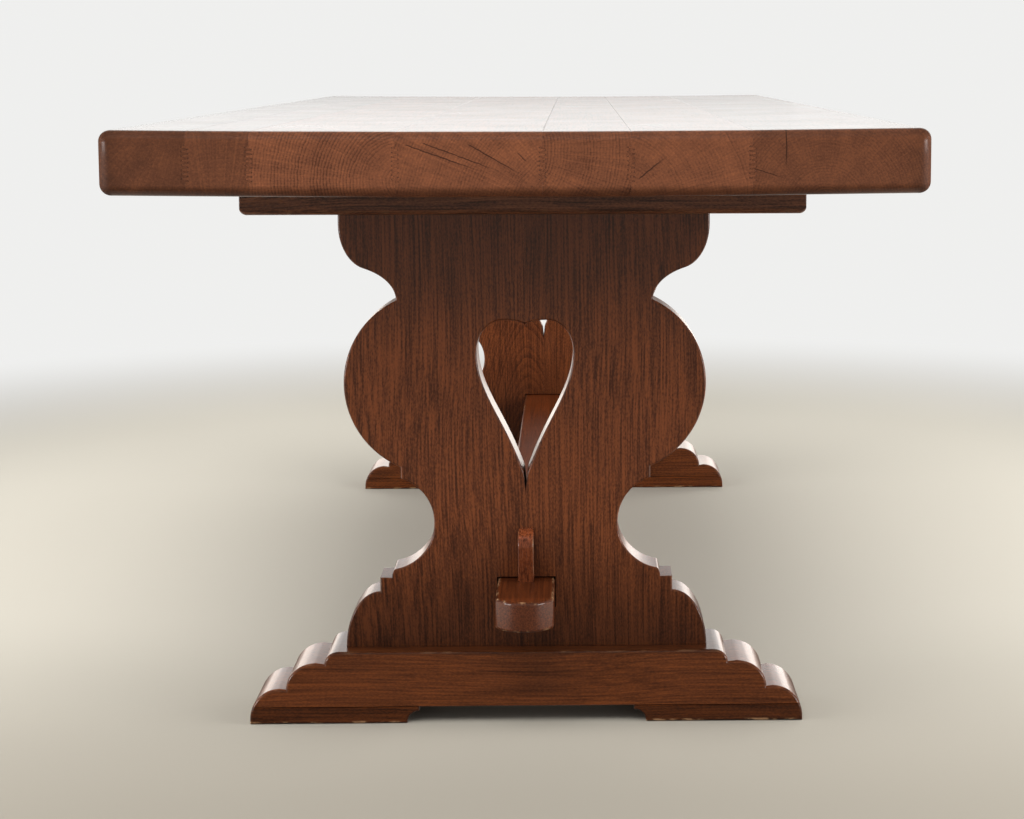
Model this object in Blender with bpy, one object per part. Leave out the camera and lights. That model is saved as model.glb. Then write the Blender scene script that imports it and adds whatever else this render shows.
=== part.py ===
"""Oak trestle table: a thick board top on two shaped trestles, tied by a wedged stretcher.

Metres, +Z up. The table stands on z = 0 with its length along Y and its width along X.
The near end is at -Y. Left and right are as seen from outside, at each piece's own end.
"""
import math

import bmesh
import bpy

# Fits
SEAT_GAP = 0.0003            # between faces that are glued or seated on each other
MORTISE_PLAY = 0.0015        # free room over the stretcher's tenon
MORTISE_SIDE_PLAY = 0.0009   # free room at each side of the stretcher's tenon

# Top, of boards glued edge to edge, from left to right
TOP_LENGTH = 2.000
TOP_THICKNESS = 0.073
TOP_ARRIS = 0.013            # rounding of the top's outer edges
BOARD_WIDTHS = (0.097, 0.070, 0.161, 0.163, 0.098, 0.135, 0.200)
GLUE_TEETH = 7               # milled teeth in each glued edge
GLUE_TOOTH_PITCH = 0.0074
GLUE_TOOTH_DEPTH = 0.0048

# Trestles
TRESTLE_INSET = 0.276        # from the end of the top to the foot's outer face
PANEL_THICKNESS = 0.052

# Trestle panel's edge, from its bottom corner upwards
BASE_HALF_WIDTH = 0.2325
BASE_LOBE_WIDTH = 0.0445
BASE_LOBE_HEIGHT = 0.073
STEP_RISE = 0.018
STEP_TREAD = 0.0155
STEP_NOSE_WIDTH = 0.005
STEP_NOSE_HEIGHT = 0.0112
COVE_HEIGHT = 0.1184
COVE_SHIFT = 0.008           # how far the cove's top end stands inside its lower end
COVE_DEPTH = 0.0457
LIP_RISE = 0.0143
BULGE_HEIGHT = 0.2153
BULGE_SHIFT = 0.0037         # how far the bulge's top end stands outside its lower end
BULGE_DEPTH = 0.0697
NECK_WIDTH = 0.0409
NECK_HEIGHT = 0.0408
NECK_SHARE = 0.683           # share of a quarter ellipse that the neck runs through
SHOULDER_WIDTH = 0.0311
SHOULDER_HEIGHT = 0.0557
SHOULDER_START = 0.139       # share of a quarter ellipse that the shoulder leaves out at its start
SIDE_HEIGHT = 0.0134

# Heart cut-out
HEART_LIFT = 0.0434          # from the middle of the bulge up to the heart's widest line
HEART_HALF_WIDTH = 0.0614
HEART_CREST_OFFSET = 0.0274  # from the centre line to the top of each lobe
HEART_CREST_RISE = 0.0384    # from the widest line to the top of each lobe
HEART_DIP = 0.0074           # from the top of the lobes down to the dip between them
HEART_SIDE_PULL = 0.056      # how long the curve of its side runs on straight down from the widest line
HEART_POINT_PULL = 0.080     # how long that curve runs on straight up from the point
HEART_POINT_LEAN = math.radians(19.3)
HEART_POINT_DROP = 0.1587    # from the widest line to the point
KERF_WIDTH = 0.0044          # saw cut that runs on below the point
KERF_LENGTH = 0.0223

# Stub tenons that seat each panel board in its foot and its cleat
STUB_OFFSET = 0.060          # from the centre line to the tenon's inner edge
STUB_SHOULDER = 0.0625       # from the panel's bottom corner to the tenon's outer edge
STUB_THICKNESS = 0.020
FOOT_STUB_LENGTH = 0.035
CLEAT_STUB_LENGTH = 0.025

# Foot, from the middle outwards
FOOT_DEPTH = 0.095
FOOT_LEDGE = 0.0085          # flat top past the panel's bottom corner
FIRST_LOBE_WIDTH = 0.0177
FIRST_LOBE_DROP = 0.0161
SECOND_LOBE_LEAD = 0.0113    # from the lobe's inner end to its crest
SECOND_LOBE_WIDTH = 0.0385
SECOND_LOBE_DROP = 0.0344
THIRD_LOBE_LEAD = 0.0085
THIRD_LOBE_WIDTH = 0.038
THIRD_LOBE_DROP = 0.040
TOE_HEIGHT = 0.006
PAD_HEIGHT = 0.022
PAD_LENGTH = 0.217           # along its top
PAD_LIP = 0.006              # upright stretch over the cove at its inner end
PAD_COVE_WIDTH = 0.0155

# Cleat under the top
CLEAT_LENGTH = 0.710
CLEAT_DEPTH = 0.095
CLEAT_HEIGHT = 0.044
CLEAT_ARRIS = 0.008          # rounding of its lower edges

# Stretcher and the tenons at its ends
STRETCHER_WIDTH = 0.073
STRETCHER_LIFT = 0.0045      # from the foot's flat top to the stretcher's underside
TENON_HEIGHT = 0.039
TENON_RISE = 0.0507          # from the panel's bottom to the tenon's underside
TENON_REACH = 0.114          # how far the tenon's nose stands out of the panel
TENON_NOSE = 0.021           # how far the round nose stands past the tenon's corners

# Tusk wedge through the tenon
WEDGE_WIDTH = 0.020
WEDGE_TAIL = 0.012           # length under the tenon
WEDGE_HEAD = 0.066           # length over the tenon
WEDGE_TIP_DEPTH = 0.014      # depth at its lower end
WEDGE_CROWN_DEPTH = 0.024    # depth at its top, before rounding
WEDGE_ROUND_DEPTH = 0.018    # rounding of its top, front to back
WEDGE_ROUND_HEIGHT = 0.022
WEDGE_DRAW = 0.003           # how far its slot runs back inside the panel

# Screws up through the cleat into the top
SCREW_LENGTH = 0.060         # under the head
SCREW_SHANK_RADIUS = 0.00275
SCREW_HEAD_RADIUS = 0.0055
SCREW_HEAD_HEIGHT = 0.0036
SCREW_POINT_LENGTH = 0.007
SCREW_SLOT_WIDTH = 0.0012
SCREW_SLOT_DEPTH = 0.0014
SCREW_END_DISTANCE = 0.030   # from the cleat's end to the outer screw
SCREW_SPACING = 0.055
COUNTERBORE_ROOM = 0.002     # round the screw's head
COUNTERBORE_DEPTH = 0.009
PILOT_ROOM = 0.002           # room past the screw's point

# Facets of the round stretches
LOBE_STEPS = 8
WIDE_ARC_STEPS = 16
ARRIS_STEPS = 3
TURNED_SIDES = 12

# Heights and places that follow from the sizes above
FOOT_HEIGHT = (TOE_HEIGHT
               + THIRD_LOBE_DROP * math.sqrt(1 - (THIRD_LOBE_LEAD / THIRD_LOBE_WIDTH) ** 2)
               + SECOND_LOBE_DROP * math.sqrt(1 - (SECOND_LOBE_LEAD / SECOND_LOBE_WIDTH) ** 2)
               + FIRST_LOBE_DROP)
PANEL_HEIGHT = (BASE_LOBE_HEIGHT + STEP_RISE + STEP_NOSE_HEIGHT + COVE_HEIGHT + LIP_RISE
                + BULGE_HEIGHT + NECK_HEIGHT + SHOULDER_HEIGHT + SIDE_HEIGHT)
PANEL_BOTTOM = FOOT_HEIGHT + SEAT_GAP
BULGE_BOTTOM = (PANEL_BOTTOM + BASE_LOBE_HEIGHT + STEP_RISE + STEP_NOSE_HEIGHT + COVE_HEIGHT
                + LIP_RISE)
HEART_MIDDLE = BULGE_BOTTOM + BULGE_HEIGHT / 2 + HEART_LIFT
CLEAT_BOTTOM = PANEL_BOTTOM + PANEL_HEIGHT + SEAT_GAP
TOP_BOTTOM = CLEAT_BOTTOM + CLEAT_HEIGHT + SEAT_GAP
TOP_WIDTH = sum(BOARD_WIDTHS)
TRESTLE_Y = TOP_LENGTH / 2 - TRESTLE_INSET - FOOT_DEPTH / 2
TENON_BOTTOM = PANEL_BOTTOM + TENON_RISE
TENON_TOP = TENON_BOTTOM + TENON_HEIGHT
STRETCHER_BOTTOM = FOOT_HEIGHT + STRETCHER_LIFT
SCREW_SEAT = CLEAT_BOTTOM + COUNTERBORE_DEPTH
SCREW_X = (CLEAT_LENGTH / 2 - SCREW_END_DISTANCE,
           CLEAT_LENGTH / 2 - SCREW_END_DISTANCE - SCREW_SPACING)
SCREW_PLACES = (-SCREW_X[0], -SCREW_X[1], SCREW_X[1], SCREW_X[0])


class Pen:
    """Traces an outline by moves from the last point."""

    def __init__(self, across, up):
        self.points = [(across, up)]

    def line(self, across, up):
        """Straight move."""
        last = self.points[-1]
        self.points.append((last[0] + across, last[1] + up))

    def lobe(self, across, up, upright_first, steps=LOBE_STEPS, first=0.0, last=1.0):
        """Quarter of an ellipse, or the stretch of it from first to last, upright or level at its start."""
        def run(share):
            angle = math.pi / 2 * share
            early, late = 1 - math.cos(angle), math.sin(angle)
            return (early, late) if upright_first else (late, early)

        x, z = self.points[-1]
        start, end = run(first), run(last)
        for step in range(1, steps + 1):
            spot = run(first + (last - first) * step / steps)
            self.points.append((x + across * (spot[0] - start[0]) / (end[0] - start[0]),
                                z + up * (spot[1] - start[1]) / (end[1] - start[1])))

    def arc(self, across, up, depth, steps=WIDE_ARC_STEPS):
        """Arc of a circle that stands out by depth to the right of its chord (left where negative)."""
        x, z = self.points[-1]
        chord = math.hypot(across, up)
        half = 2 * math.atan(2 * abs(depth) / chord)
        radius = chord / 2 / math.sin(half)
        side = math.copysign(1, depth)
        along = (across / chord, up / chord)
        out = (along[1] * side, -along[0] * side)
        for step in range(1, steps + 1):
            angle = half * (2 * step / steps - 1)
            forward = chord / 2 + radius * math.sin(angle)
            outward = radius * (math.cos(angle) - math.cos(half))
            self.points.append((x + along[0] * forward + out[0] * outward,
                                z + along[1] * forward + out[1] * outward))

    def curve(self, leave, arrive, end, steps=WIDE_ARC_STEPS):
        """Cubic curve to an end, that sets out towards one point and comes in from another."""
        corners = (self.points[-1], leave, arrive, end)
        for step in range(1, steps + 1):
            late = step / steps
            early = 1 - late
            shares = (early ** 3, 3 * early ** 2 * late, 3 * early * late ** 2, late ** 3)
            self.points.append(tuple(sum(share * corner[axis] for share, corner in zip(shares, corners))
                                     for axis in (0, 1)))


def clear_scene():
    """Removes every object that the file starts with."""
    for old in list(bpy.data.objects):
        bpy.data.objects.remove(old, do_unlink=True)


def finish(name, colour, roughness, metallic=0.0):
    """Makes a plain surface finish."""
    surface = bpy.data.materials.new(name)
    surface.use_nodes = True
    shader = surface.node_tree.nodes["Principled BSDF"]
    shader.inputs["Base Color"].default_value = (*colour, 1.0)
    shader.inputs["Roughness"].default_value = roughness
    shader.inputs["Metallic"].default_value = metallic
    return surface


def mesh_of(name, build):
    """Makes a mesh from the faces that build adds, with all of them pointing outwards."""
    shape = bmesh.new()
    build(shape)
    bmesh.ops.recalc_face_normals(shape, faces=shape.faces)
    mesh = bpy.data.meshes.new(name)
    shape.to_mesh(mesh)
    shape.free()
    return mesh


def prism(name, outline, low, high, along):
    """Extrudes an outline from low to high along one axis; its points lie on the other two, in order."""
    def place(point, level):
        spot = list(point)
        spot.insert("XYZ".index(along), level)
        return spot

    def build(shape):
        face = shape.faces.new([shape.verts.new(place(point, low)) for point in outline])
        moved = bmesh.ops.extrude_face_region(shape, geom=[face])
        for vert in (item for item in moved["geom"] if isinstance(item, bmesh.types.BMVert)):
            vert.co["XYZ".index(along)] = high
    return mesh_of(name, build)


def box(name, low, high, arris=0.0, lower_edges_only=False):
    """Makes a box between two corners, with its edges rounded where an arris is given."""
    middle = (low[2] + high[2]) / 2

    def build(shape):
        bmesh.ops.create_cube(shape, size=1.0)
        for vert in shape.verts:
            vert.co = [a if c < 0 else b for c, a, b in zip(vert.co, low, high)]
        edges = [edge for edge in shape.edges
                 if not lower_edges_only or all(vert.co.z < middle for vert in edge.verts)]
        if arris:
            bmesh.ops.bevel(shape, geom=edges, offset=arris, segments=ARRIS_STEPS, profile=0.5,
                            affect="EDGES", clamp_overlap=True)
    return mesh_of(name, build)


def turned(name, profile):
    """Spins a profile of (radius, height) points, which starts and ends on the axis, about Z."""
    def build(shape):
        rings = []
        for radius, height in profile:
            if radius == 0:
                rings.append([shape.verts.new((0, 0, height))] * TURNED_SIDES)
                continue
            turns = [2 * math.pi * side / TURNED_SIDES for side in range(TURNED_SIDES)]
            rings.append([shape.verts.new((radius * math.cos(turn), radius * math.sin(turn), height))
                          for turn in turns])
        for lower, upper in zip(rings, rings[1:]):
            for side in range(TURNED_SIDES):
                after = (side + 1) % TURNED_SIDES
                corners = (lower[side], lower[after], upper[after], upper[side])
                shape.faces.new(list(dict.fromkeys(corners)))
    return mesh_of(name, build)


def carve(mesh, tools, operation="DIFFERENCE"):
    """Cuts each tool mesh out of a mesh, or joins or keeps what they share, and returns the result."""
    holder = bpy.data.objects.new("carved", mesh)
    bpy.context.collection.objects.link(holder)
    cutters = []
    for tool in tools:
        cutter = bpy.data.objects.new("cutter", tool)
        bpy.context.collection.objects.link(cutter)
        cutters.append(cutter)
        modifier = holder.modifiers.new("carve", "BOOLEAN")
        modifier.operation = operation
        modifier.solver = "EXACT"
        modifier.object = cutter
    graph = bpy.context.evaluated_depsgraph_get()
    result = bpy.data.meshes.new_from_object(holder.evaluated_get(graph))
    result.name = mesh.name
    for used in (holder, *cutters):
        bpy.data.objects.remove(used, do_unlink=True)
    return result


def place(name, mesh, surface, parent, location=(0, 0, 0), smooth=False):
    """Adds a named piece to the model."""
    if smooth:
        mesh.shade_smooth()
        mesh.set_sharp_from_angle(angle=math.radians(40))
    mesh.materials.clear()
    mesh.materials.append(surface)
    piece = bpy.data.objects.new(name, mesh)
    bpy.context.collection.objects.link(piece)
    piece.parent = parent
    piece.location = location
    return piece


def anchor(name, location=(0, 0, 0), turn=0.0, parent=None):
    """Adds an empty that carries other pieces."""
    empty = bpy.data.objects.new(name, None)
    bpy.context.collection.objects.link(empty)
    empty.parent = parent
    empty.location = location
    empty.rotation_euler = (0, 0, turn)
    return empty


def mirrored(outline):
    """Reflects an outline in the centre line."""
    return [(-across, up) for across, up in reversed(outline)]


def glue_edge(across):
    """Zig-zag line of a milled glue joint, from under the top to over it."""
    half = GLUE_TEETH * GLUE_TOOTH_PITCH / 2
    middle = TOP_BOTTOM + TOP_THICKNESS / 2
    points = [(across, TOP_BOTTOM - TOP_THICKNESS), (across, middle - half)]
    for tooth in range(GLUE_TEETH):
        foot = middle - half + tooth * GLUE_TOOTH_PITCH
        points.append((across + GLUE_TOOTH_DEPTH / 2, foot + GLUE_TOOTH_PITCH / 4))
        points.append((across - GLUE_TOOTH_DEPTH / 2, foot + GLUE_TOOTH_PITCH * 3 / 4))
    points.append((across, middle + half))
    points.append((across, TOP_BOTTOM + 2 * TOP_THICKNESS))
    return points


def make_top(surface, parent):
    """Seven boards, each the part of one rounded slab between two glue joints."""
    slab = box("slab", (-TOP_WIDTH / 2, -TOP_LENGTH / 2, TOP_BOTTOM),
               (TOP_WIDTH / 2, TOP_LENGTH / 2, TOP_BOTTOM + TOP_THICKNESS), TOP_ARRIS)
    pilot_end = SCREW_SEAT + SCREW_LENGTH + PILOT_ROOM
    pilots = []
    for side in (-1, 1):
        for across in SCREW_PLACES:
            hole = turned("pilot", [(0, CLEAT_BOTTOM), (SCREW_SHANK_RADIUS + SEAT_GAP, CLEAT_BOTTOM),
                                    (SCREW_SHANK_RADIUS + SEAT_GAP, pilot_end), (0, pilot_end)])
            for vert in hole.vertices:
                vert.co.x += across
                vert.co.y += side * TRESTLE_Y
            pilots.append(hole)
    slab = carve(slab, pilots)
    slope = math.hypot(GLUE_TOOTH_DEPTH, GLUE_TOOTH_PITCH / 2) / (GLUE_TOOTH_PITCH / 2)
    half_gap = SEAT_GAP / 2 * slope
    left = -TOP_WIDTH / 2
    for number, width in enumerate(BOARD_WIDTHS, start=1):
        right = left + width
        low = left + half_gap if number > 1 else left - width
        high = right - half_gap if number < len(BOARD_WIDTHS) else right + width
        outline = glue_edge(low) + glue_edge(high)[::-1]
        board = prism(f"top_board_{number}", outline, -TOP_LENGTH, TOP_LENGTH, "Y")
        board = carve(board, [slab.copy()], "INTERSECT")
        place(f"top_board_{number}", board, surface, parent)
        left = right


def panel_outline():
    """Right half of the trestle panel, from the foot of its glued edge round to its top."""
    inner = SEAT_GAP / 2
    edge = Pen(BASE_HALF_WIDTH, PANEL_BOTTOM)
    edge.lobe(-BASE_LOBE_WIDTH, BASE_LOBE_HEIGHT, upright_first=True)
    edge.line(0, STEP_RISE)
    edge.line(-STEP_TREAD, 0)
    edge.lobe(-STEP_NOSE_WIDTH, STEP_NOSE_HEIGHT, upright_first=True, steps=4)
    edge.arc(-COVE_SHIFT, COVE_HEIGHT, -COVE_DEPTH)
    edge.line(0, LIP_RISE)
    edge.arc(BULGE_SHIFT, BULGE_HEIGHT, BULGE_DEPTH)
    edge.lobe(NECK_WIDTH, NECK_HEIGHT, upright_first=True, last=NECK_SHARE)
    edge.lobe(SHOULDER_WIDTH, SHOULDER_HEIGHT, upright_first=False, first=SHOULDER_START)
    edge.line(0, SIDE_HEIGHT)
    mortise = STRETCHER_WIDTH / 2 + MORTISE_SIDE_PLAY
    mortise_bottom = TENON_BOTTOM - SEAT_GAP
    mortise_top = TENON_TOP + MORTISE_PLAY
    glued = [(inner, PANEL_BOTTOM), (inner, mortise_bottom), (mortise, mortise_bottom),
             (mortise, mortise_top), (inner, mortise_top)]
    glued += heart_outline(inner)
    glued.append((inner, PANEL_BOTTOM + PANEL_HEIGHT))
    return edge.points + glued[::-1]


def heart_outline(inner):
    """Right half of the heart, from the foot of the saw cut under its point up to its dip."""
    point = (KERF_WIDTH / 2, HEART_MIDDLE - HEART_POINT_DROP)
    half = Pen(inner, point[1] - KERF_LENGTH)
    half.points.append(point)
    half.curve((point[0] + HEART_POINT_PULL * math.sin(HEART_POINT_LEAN),
                point[1] + HEART_POINT_PULL * math.cos(HEART_POINT_LEAN)),
               (HEART_HALF_WIDTH, HEART_MIDDLE - HEART_SIDE_PULL), (HEART_HALF_WIDTH, HEART_MIDDLE))
    half.lobe(HEART_CREST_OFFSET - HEART_HALF_WIDTH, HEART_CREST_RISE, upright_first=True)
    half.lobe(inner - HEART_CREST_OFFSET, -HEART_DIP, upright_first=False)
    return half.points


def stub_box(low_z, high_z, room=0.0):
    """Box of a stub tenon, or of its mortise where room is given."""
    return box("stub", (STUB_OFFSET - room, -STUB_THICKNESS / 2 - room, low_z),
               (BASE_HALF_WIDTH - STUB_SHOULDER + room, STUB_THICKNESS / 2 + room, high_z))


def across_mirror(mesh):
    """Returns a copy of a mesh reflected in the centre line."""
    copy = mesh.copy()
    for vert in copy.vertices:
        vert.co.x = -vert.co.x
    copy.flip_normals()
    return copy


def panel_mesh():
    """Right board of a trestle panel with the stub tenons at its ends."""
    panel_top = PANEL_BOTTOM + PANEL_HEIGHT
    board = prism("trestle_board", panel_outline(), -PANEL_THICKNESS / 2, PANEL_THICKNESS / 2, "Y")
    stubs = [stub_box(PANEL_BOTTOM - FOOT_STUB_LENGTH, PANEL_BOTTOM + FOOT_STUB_LENGTH),
             stub_box(panel_top - CLEAT_STUB_LENGTH, panel_top + CLEAT_STUB_LENGTH)]
    return carve(board, stubs, "UNION")


def foot_outline(below_floor=0.0):
    """Foot's scalloped outline, from its left end over its flat top to its right end."""
    edge = Pen(BASE_HALF_WIDTH + FOOT_LEDGE, FOOT_HEIGHT)
    edge.lobe(FIRST_LOBE_WIDTH, -FIRST_LOBE_DROP, upright_first=False)
    for lead, width, drop in ((SECOND_LOBE_LEAD, SECOND_LOBE_WIDTH, SECOND_LOBE_DROP),
                              (THIRD_LOBE_LEAD, THIRD_LOBE_WIDTH, THIRD_LOBE_DROP)):
        edge.line(lead, drop * (1 - math.sqrt(1 - (lead / width) ** 2)))
        edge.lobe(width, -drop, upright_first=False)
    edge.line(0, -TOE_HEIGHT - below_floor)
    return mirrored(edge.points) + edge.points


def foot_mesh():
    """Foot beam: the foot's outline above its pads, with a mortise for each stub tenon."""
    outline = foot_outline()
    whole = prism("foot", outline, -FOOT_DEPTH / 2, FOOT_DEPTH / 2, "Y")
    reach = outline[-1][0] + FOOT_DEPTH
    below = box("below", (-reach, -FOOT_DEPTH, -FOOT_HEIGHT), (reach, FOOT_DEPTH, PAD_HEIGHT))
    mortise = stub_box(PANEL_BOTTOM - FOOT_STUB_LENGTH - SEAT_GAP, FOOT_HEIGHT + FOOT_STUB_LENGTH, SEAT_GAP)
    return carve(whole, [below, mortise, across_mirror(mortise)])


def pad_mesh():
    """Right foot pad: the foot's outline below the beam, with a cove at its inner end."""
    whole = foot_outline(below_floor=FOOT_HEIGHT)
    outer = whole[-1][0]
    outline = Pen(outer - PAD_LENGTH, PAD_HEIGHT - SEAT_GAP)
    outline.line(0, -PAD_LIP)
    outline.lobe(PAD_COVE_WIDTH, SEAT_GAP + PAD_LIP - PAD_HEIGHT, upright_first=False)
    outline.line(outer + PAD_LENGTH, 0)
    outline.line(0, PAD_HEIGHT - SEAT_GAP)
    plank = prism("foot_pad", outline.points, -FOOT_DEPTH / 2, FOOT_DEPTH / 2, "Y")
    return carve(plank, [prism("whole_foot", whole, -FOOT_DEPTH, FOOT_DEPTH, "Y")], "INTERSECT")


def cleat_mesh():
    """Cleat with its lower edges rounded, a mortise for each stub tenon and its screw holes."""
    bar = box("cleat", (-CLEAT_LENGTH / 2, -CLEAT_DEPTH / 2, CLEAT_BOTTOM),
              (CLEAT_LENGTH / 2, CLEAT_DEPTH / 2, CLEAT_BOTTOM + CLEAT_HEIGHT), CLEAT_ARRIS, True)
    stub_top = PANEL_BOTTOM + PANEL_HEIGHT + CLEAT_STUB_LENGTH + SEAT_GAP
    mortise = stub_box(CLEAT_BOTTOM - CLEAT_STUB_LENGTH, stub_top, SEAT_GAP)
    tools = [mortise, across_mirror(mortise)]
    bore = SCREW_SHANK_RADIUS + SEAT_GAP
    wide = SCREW_HEAD_RADIUS + COUNTERBORE_ROOM
    for across in SCREW_PLACES:
        hole = turned("screw_hole", [(0, CLEAT_BOTTOM - CLEAT_HEIGHT),
                                     (wide, CLEAT_BOTTOM - CLEAT_HEIGHT),
                                     (wide, SCREW_SEAT), (bore, SCREW_SEAT),
                                     (bore, TOP_BOTTOM + CLEAT_HEIGHT), (0, TOP_BOTTOM + CLEAT_HEIGHT)])
        for vert in hole.vertices:
            vert.co.x += across
        tools.append(hole)
    return carve(bar, tools)


def screw_mesh():
    """Slotted round-head wood screw, point upwards, with its head's underside at z = 0."""
    head = Pen(0, -SCREW_HEAD_HEIGHT)
    head.lobe(SCREW_HEAD_RADIUS, SCREW_HEAD_HEIGHT, upright_first=False, steps=ARRIS_STEPS)
    shank = [(SCREW_SHANK_RADIUS, 0), (SCREW_SHANK_RADIUS, SCREW_LENGTH - SCREW_POINT_LENGTH),
             (0, SCREW_LENGTH)]
    screw = turned("cleat_screw", head.points + shank)
    slot = box("slot", (-SCREW_HEAD_RADIUS * 2, -SCREW_SLOT_WIDTH / 2, -SCREW_HEAD_HEIGHT * 2),
               (SCREW_HEAD_RADIUS * 2, SCREW_SLOT_WIDTH / 2, SCREW_SLOT_DEPTH - SCREW_HEAD_HEIGHT))
    return carve(screw, [slot])


def wedge_front(height):
    """Depth of the wedge, back to front, at a height above its lower end."""
    length = WEDGE_TAIL + TENON_HEIGHT + WEDGE_HEAD
    return WEDGE_TIP_DEPTH + (WEDGE_CROWN_DEPTH - WEDGE_TIP_DEPTH) * height / length


def wedge_mesh():
    """Tusk wedge: back upright at y = 0, front sloping, top rounded; z = 0 at the tenon's top."""
    tip = -TENON_HEIGHT - WEDGE_TAIL
    rounding = WEDGE_HEAD - WEDGE_ROUND_HEIGHT
    front = -wedge_front(rounding - tip)
    outline = Pen(0, tip)
    outline.line(-WEDGE_TIP_DEPTH, 0)
    outline.points.append((front, rounding))
    outline.lobe(WEDGE_ROUND_DEPTH, WEDGE_ROUND_HEIGHT, upright_first=True)
    outline.points.append((0, WEDGE_HEAD))
    return prism("wedge", outline.points, -WEDGE_WIDTH / 2, WEDGE_WIDTH / 2, "X")


def wedge_slot():
    """Slot for the wedge through a tenon, in the trestle's frame, longer than the tenon is tall."""
    panel_face = -PANEL_THICKNESS / 2
    low, high = -TENON_HEIGHT - WEDGE_TAIL, WEDGE_TAIL
    fronts = [panel_face - 2 * SEAT_GAP - wedge_front(level + TENON_HEIGHT + WEDGE_TAIL)
              for level in (low, high)]
    outline = [(panel_face + WEDGE_DRAW, TENON_TOP + low), (fronts[0], TENON_TOP + low),
               (fronts[1], TENON_TOP + high), (panel_face + WEDGE_DRAW, TENON_TOP + high)]
    half = WEDGE_WIDTH / 2 + SEAT_GAP
    return prism("wedge_slot", outline, -half, half, "X")


def stretcher_mesh():
    """Stretcher: a plank with round noses, cut away under each tenon, with a slot for each wedge."""
    half = STRETCHER_WIDTH / 2
    nose = TRESTLE_Y + PANEL_THICKNESS / 2 + TENON_REACH
    corner = nose - TENON_NOSE
    plan = Pen(half, -corner)
    plan.line(0, 2 * corner)
    plan.arc(-STRETCHER_WIDTH, 0, TENON_NOSE)
    plan.line(0, -2 * corner)
    plan.arc(STRETCHER_WIDTH, 0, TENON_NOSE)
    plank = prism("stretcher", plan.points[:-1], STRETCHER_BOTTOM, TENON_TOP, "Z")
    shoulder = TRESTLE_Y - PANEL_THICKNESS / 2 - SEAT_GAP
    tools = []
    for side in (-1, 1):
        ends = sorted((side * shoulder, side * (nose + TENON_REACH)))
        tools.append(box("under_tenon", (-STRETCHER_WIDTH, ends[0], STRETCHER_BOTTOM - TENON_HEIGHT),
                         (STRETCHER_WIDTH, ends[1], TENON_BOTTOM)))
        slot = wedge_slot()
        for vert in slot.vertices:
            vert.co.y = -side * vert.co.y + side * TRESTLE_Y
        if side > 0:
            slot.flip_normals()
        tools.append(slot)
    return carve(plank, tools)


def make_trestle(end, carrier, oak, steel):
    """One trestle with its cleat, screws, foot, pads and wedge."""
    panel, pad = panel_mesh(), pad_mesh()
    place(f"{end}_trestle_board_right", panel, oak["panel"], carrier)
    place(f"{end}_trestle_board_left", across_mirror(panel), oak["panel"], carrier)
    place(f"{end}_foot", foot_mesh(), oak["foot"], carrier)
    place(f"{end}_foot_pad_right", pad, oak["pad"], carrier)
    place(f"{end}_foot_pad_left", across_mirror(pad), oak["pad"], carrier)
    place(f"{end}_cleat", cleat_mesh(), oak["cleat"], carrier)
    wedge_place = (0, -PANEL_THICKNESS / 2 - SEAT_GAP, TENON_TOP)
    place(f"{end}_wedge", wedge_mesh(), oak["wedge"], carrier, wedge_place)
    screw = screw_mesh()
    for number, across in enumerate(SCREW_PLACES, start=1):
        seat = (across, 0, SCREW_SEAT - SEAT_GAP)
        place(f"{end}_cleat_screw_{number}", screw, steel, carrier, seat, smooth=True)


def main():
    """Builds the whole table."""
    clear_scene()
    oak = {"top": finish("top_oak", (0.115, 0.038, 0.016), 0.30),
           "cleat": finish("cleat_oak", (0.050, 0.020, 0.011), 0.40),
           "panel": finish("trestle_oak", (0.080, 0.027, 0.012), 0.36),
           "foot": finish("foot_oak", (0.085, 0.029, 0.012), 0.34),
           "pad": finish("pad_oak", (0.075, 0.024, 0.010), 0.36),
           "stretcher": finish("stretcher_oak", (0.095, 0.033, 0.015), 0.30),
           "wedge": finish("wedge_oak", (0.120, 0.044, 0.022), 0.28)}
    steel = finish("screw_steel", (0.42, 0.41, 0.39), 0.42, 1.0)
    table = anchor("table")
    make_top(oak["top"], table)
    make_trestle("near", anchor("near_trestle", (0, -TRESTLE_Y, 0), 0.0, table), oak, steel)
    make_trestle("far", anchor("far_trestle", (0, TRESTLE_Y, 0), math.pi, table), oak, steel)
    place("stretcher", stretcher_mesh(), oak["stretcher"], table)


main()
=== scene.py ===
"""Looks of the oak trestle table: finished edges, oak grain, lacquer and wear.

Metres, +Z up, in the frame's own axes: length along Y, near end at -Y, width along X.
Left and right are as seen from outside, at each piece's own end.
"""
import math

import bmesh
import bpy
from mathutils import Matrix, Vector


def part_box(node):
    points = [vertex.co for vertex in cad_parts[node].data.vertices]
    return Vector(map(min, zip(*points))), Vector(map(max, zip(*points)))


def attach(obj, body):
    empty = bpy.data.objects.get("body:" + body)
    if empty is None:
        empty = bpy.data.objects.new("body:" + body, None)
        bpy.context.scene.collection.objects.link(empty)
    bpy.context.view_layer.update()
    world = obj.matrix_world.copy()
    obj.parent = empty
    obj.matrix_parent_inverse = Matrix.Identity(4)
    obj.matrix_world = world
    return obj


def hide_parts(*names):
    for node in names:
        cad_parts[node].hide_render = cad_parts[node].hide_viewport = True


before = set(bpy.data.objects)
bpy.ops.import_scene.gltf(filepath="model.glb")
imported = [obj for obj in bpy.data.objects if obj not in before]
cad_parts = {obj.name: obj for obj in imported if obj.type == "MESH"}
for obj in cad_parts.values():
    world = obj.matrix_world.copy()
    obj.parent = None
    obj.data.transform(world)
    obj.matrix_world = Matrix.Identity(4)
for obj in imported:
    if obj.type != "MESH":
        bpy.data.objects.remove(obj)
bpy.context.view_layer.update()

# Places of the frame's pieces, and how many there are of some
TOP_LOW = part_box("top_board_1")[0]
TOP_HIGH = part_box("top_board_7")[1]
TOP_WIDTH = TOP_HIGH.x - TOP_LOW.x
TOP_MIDDLE = (TOP_LOW.z + TOP_HIGH.z) / 2
CLEAT_LOW, CLEAT_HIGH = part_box("near_cleat")
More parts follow.
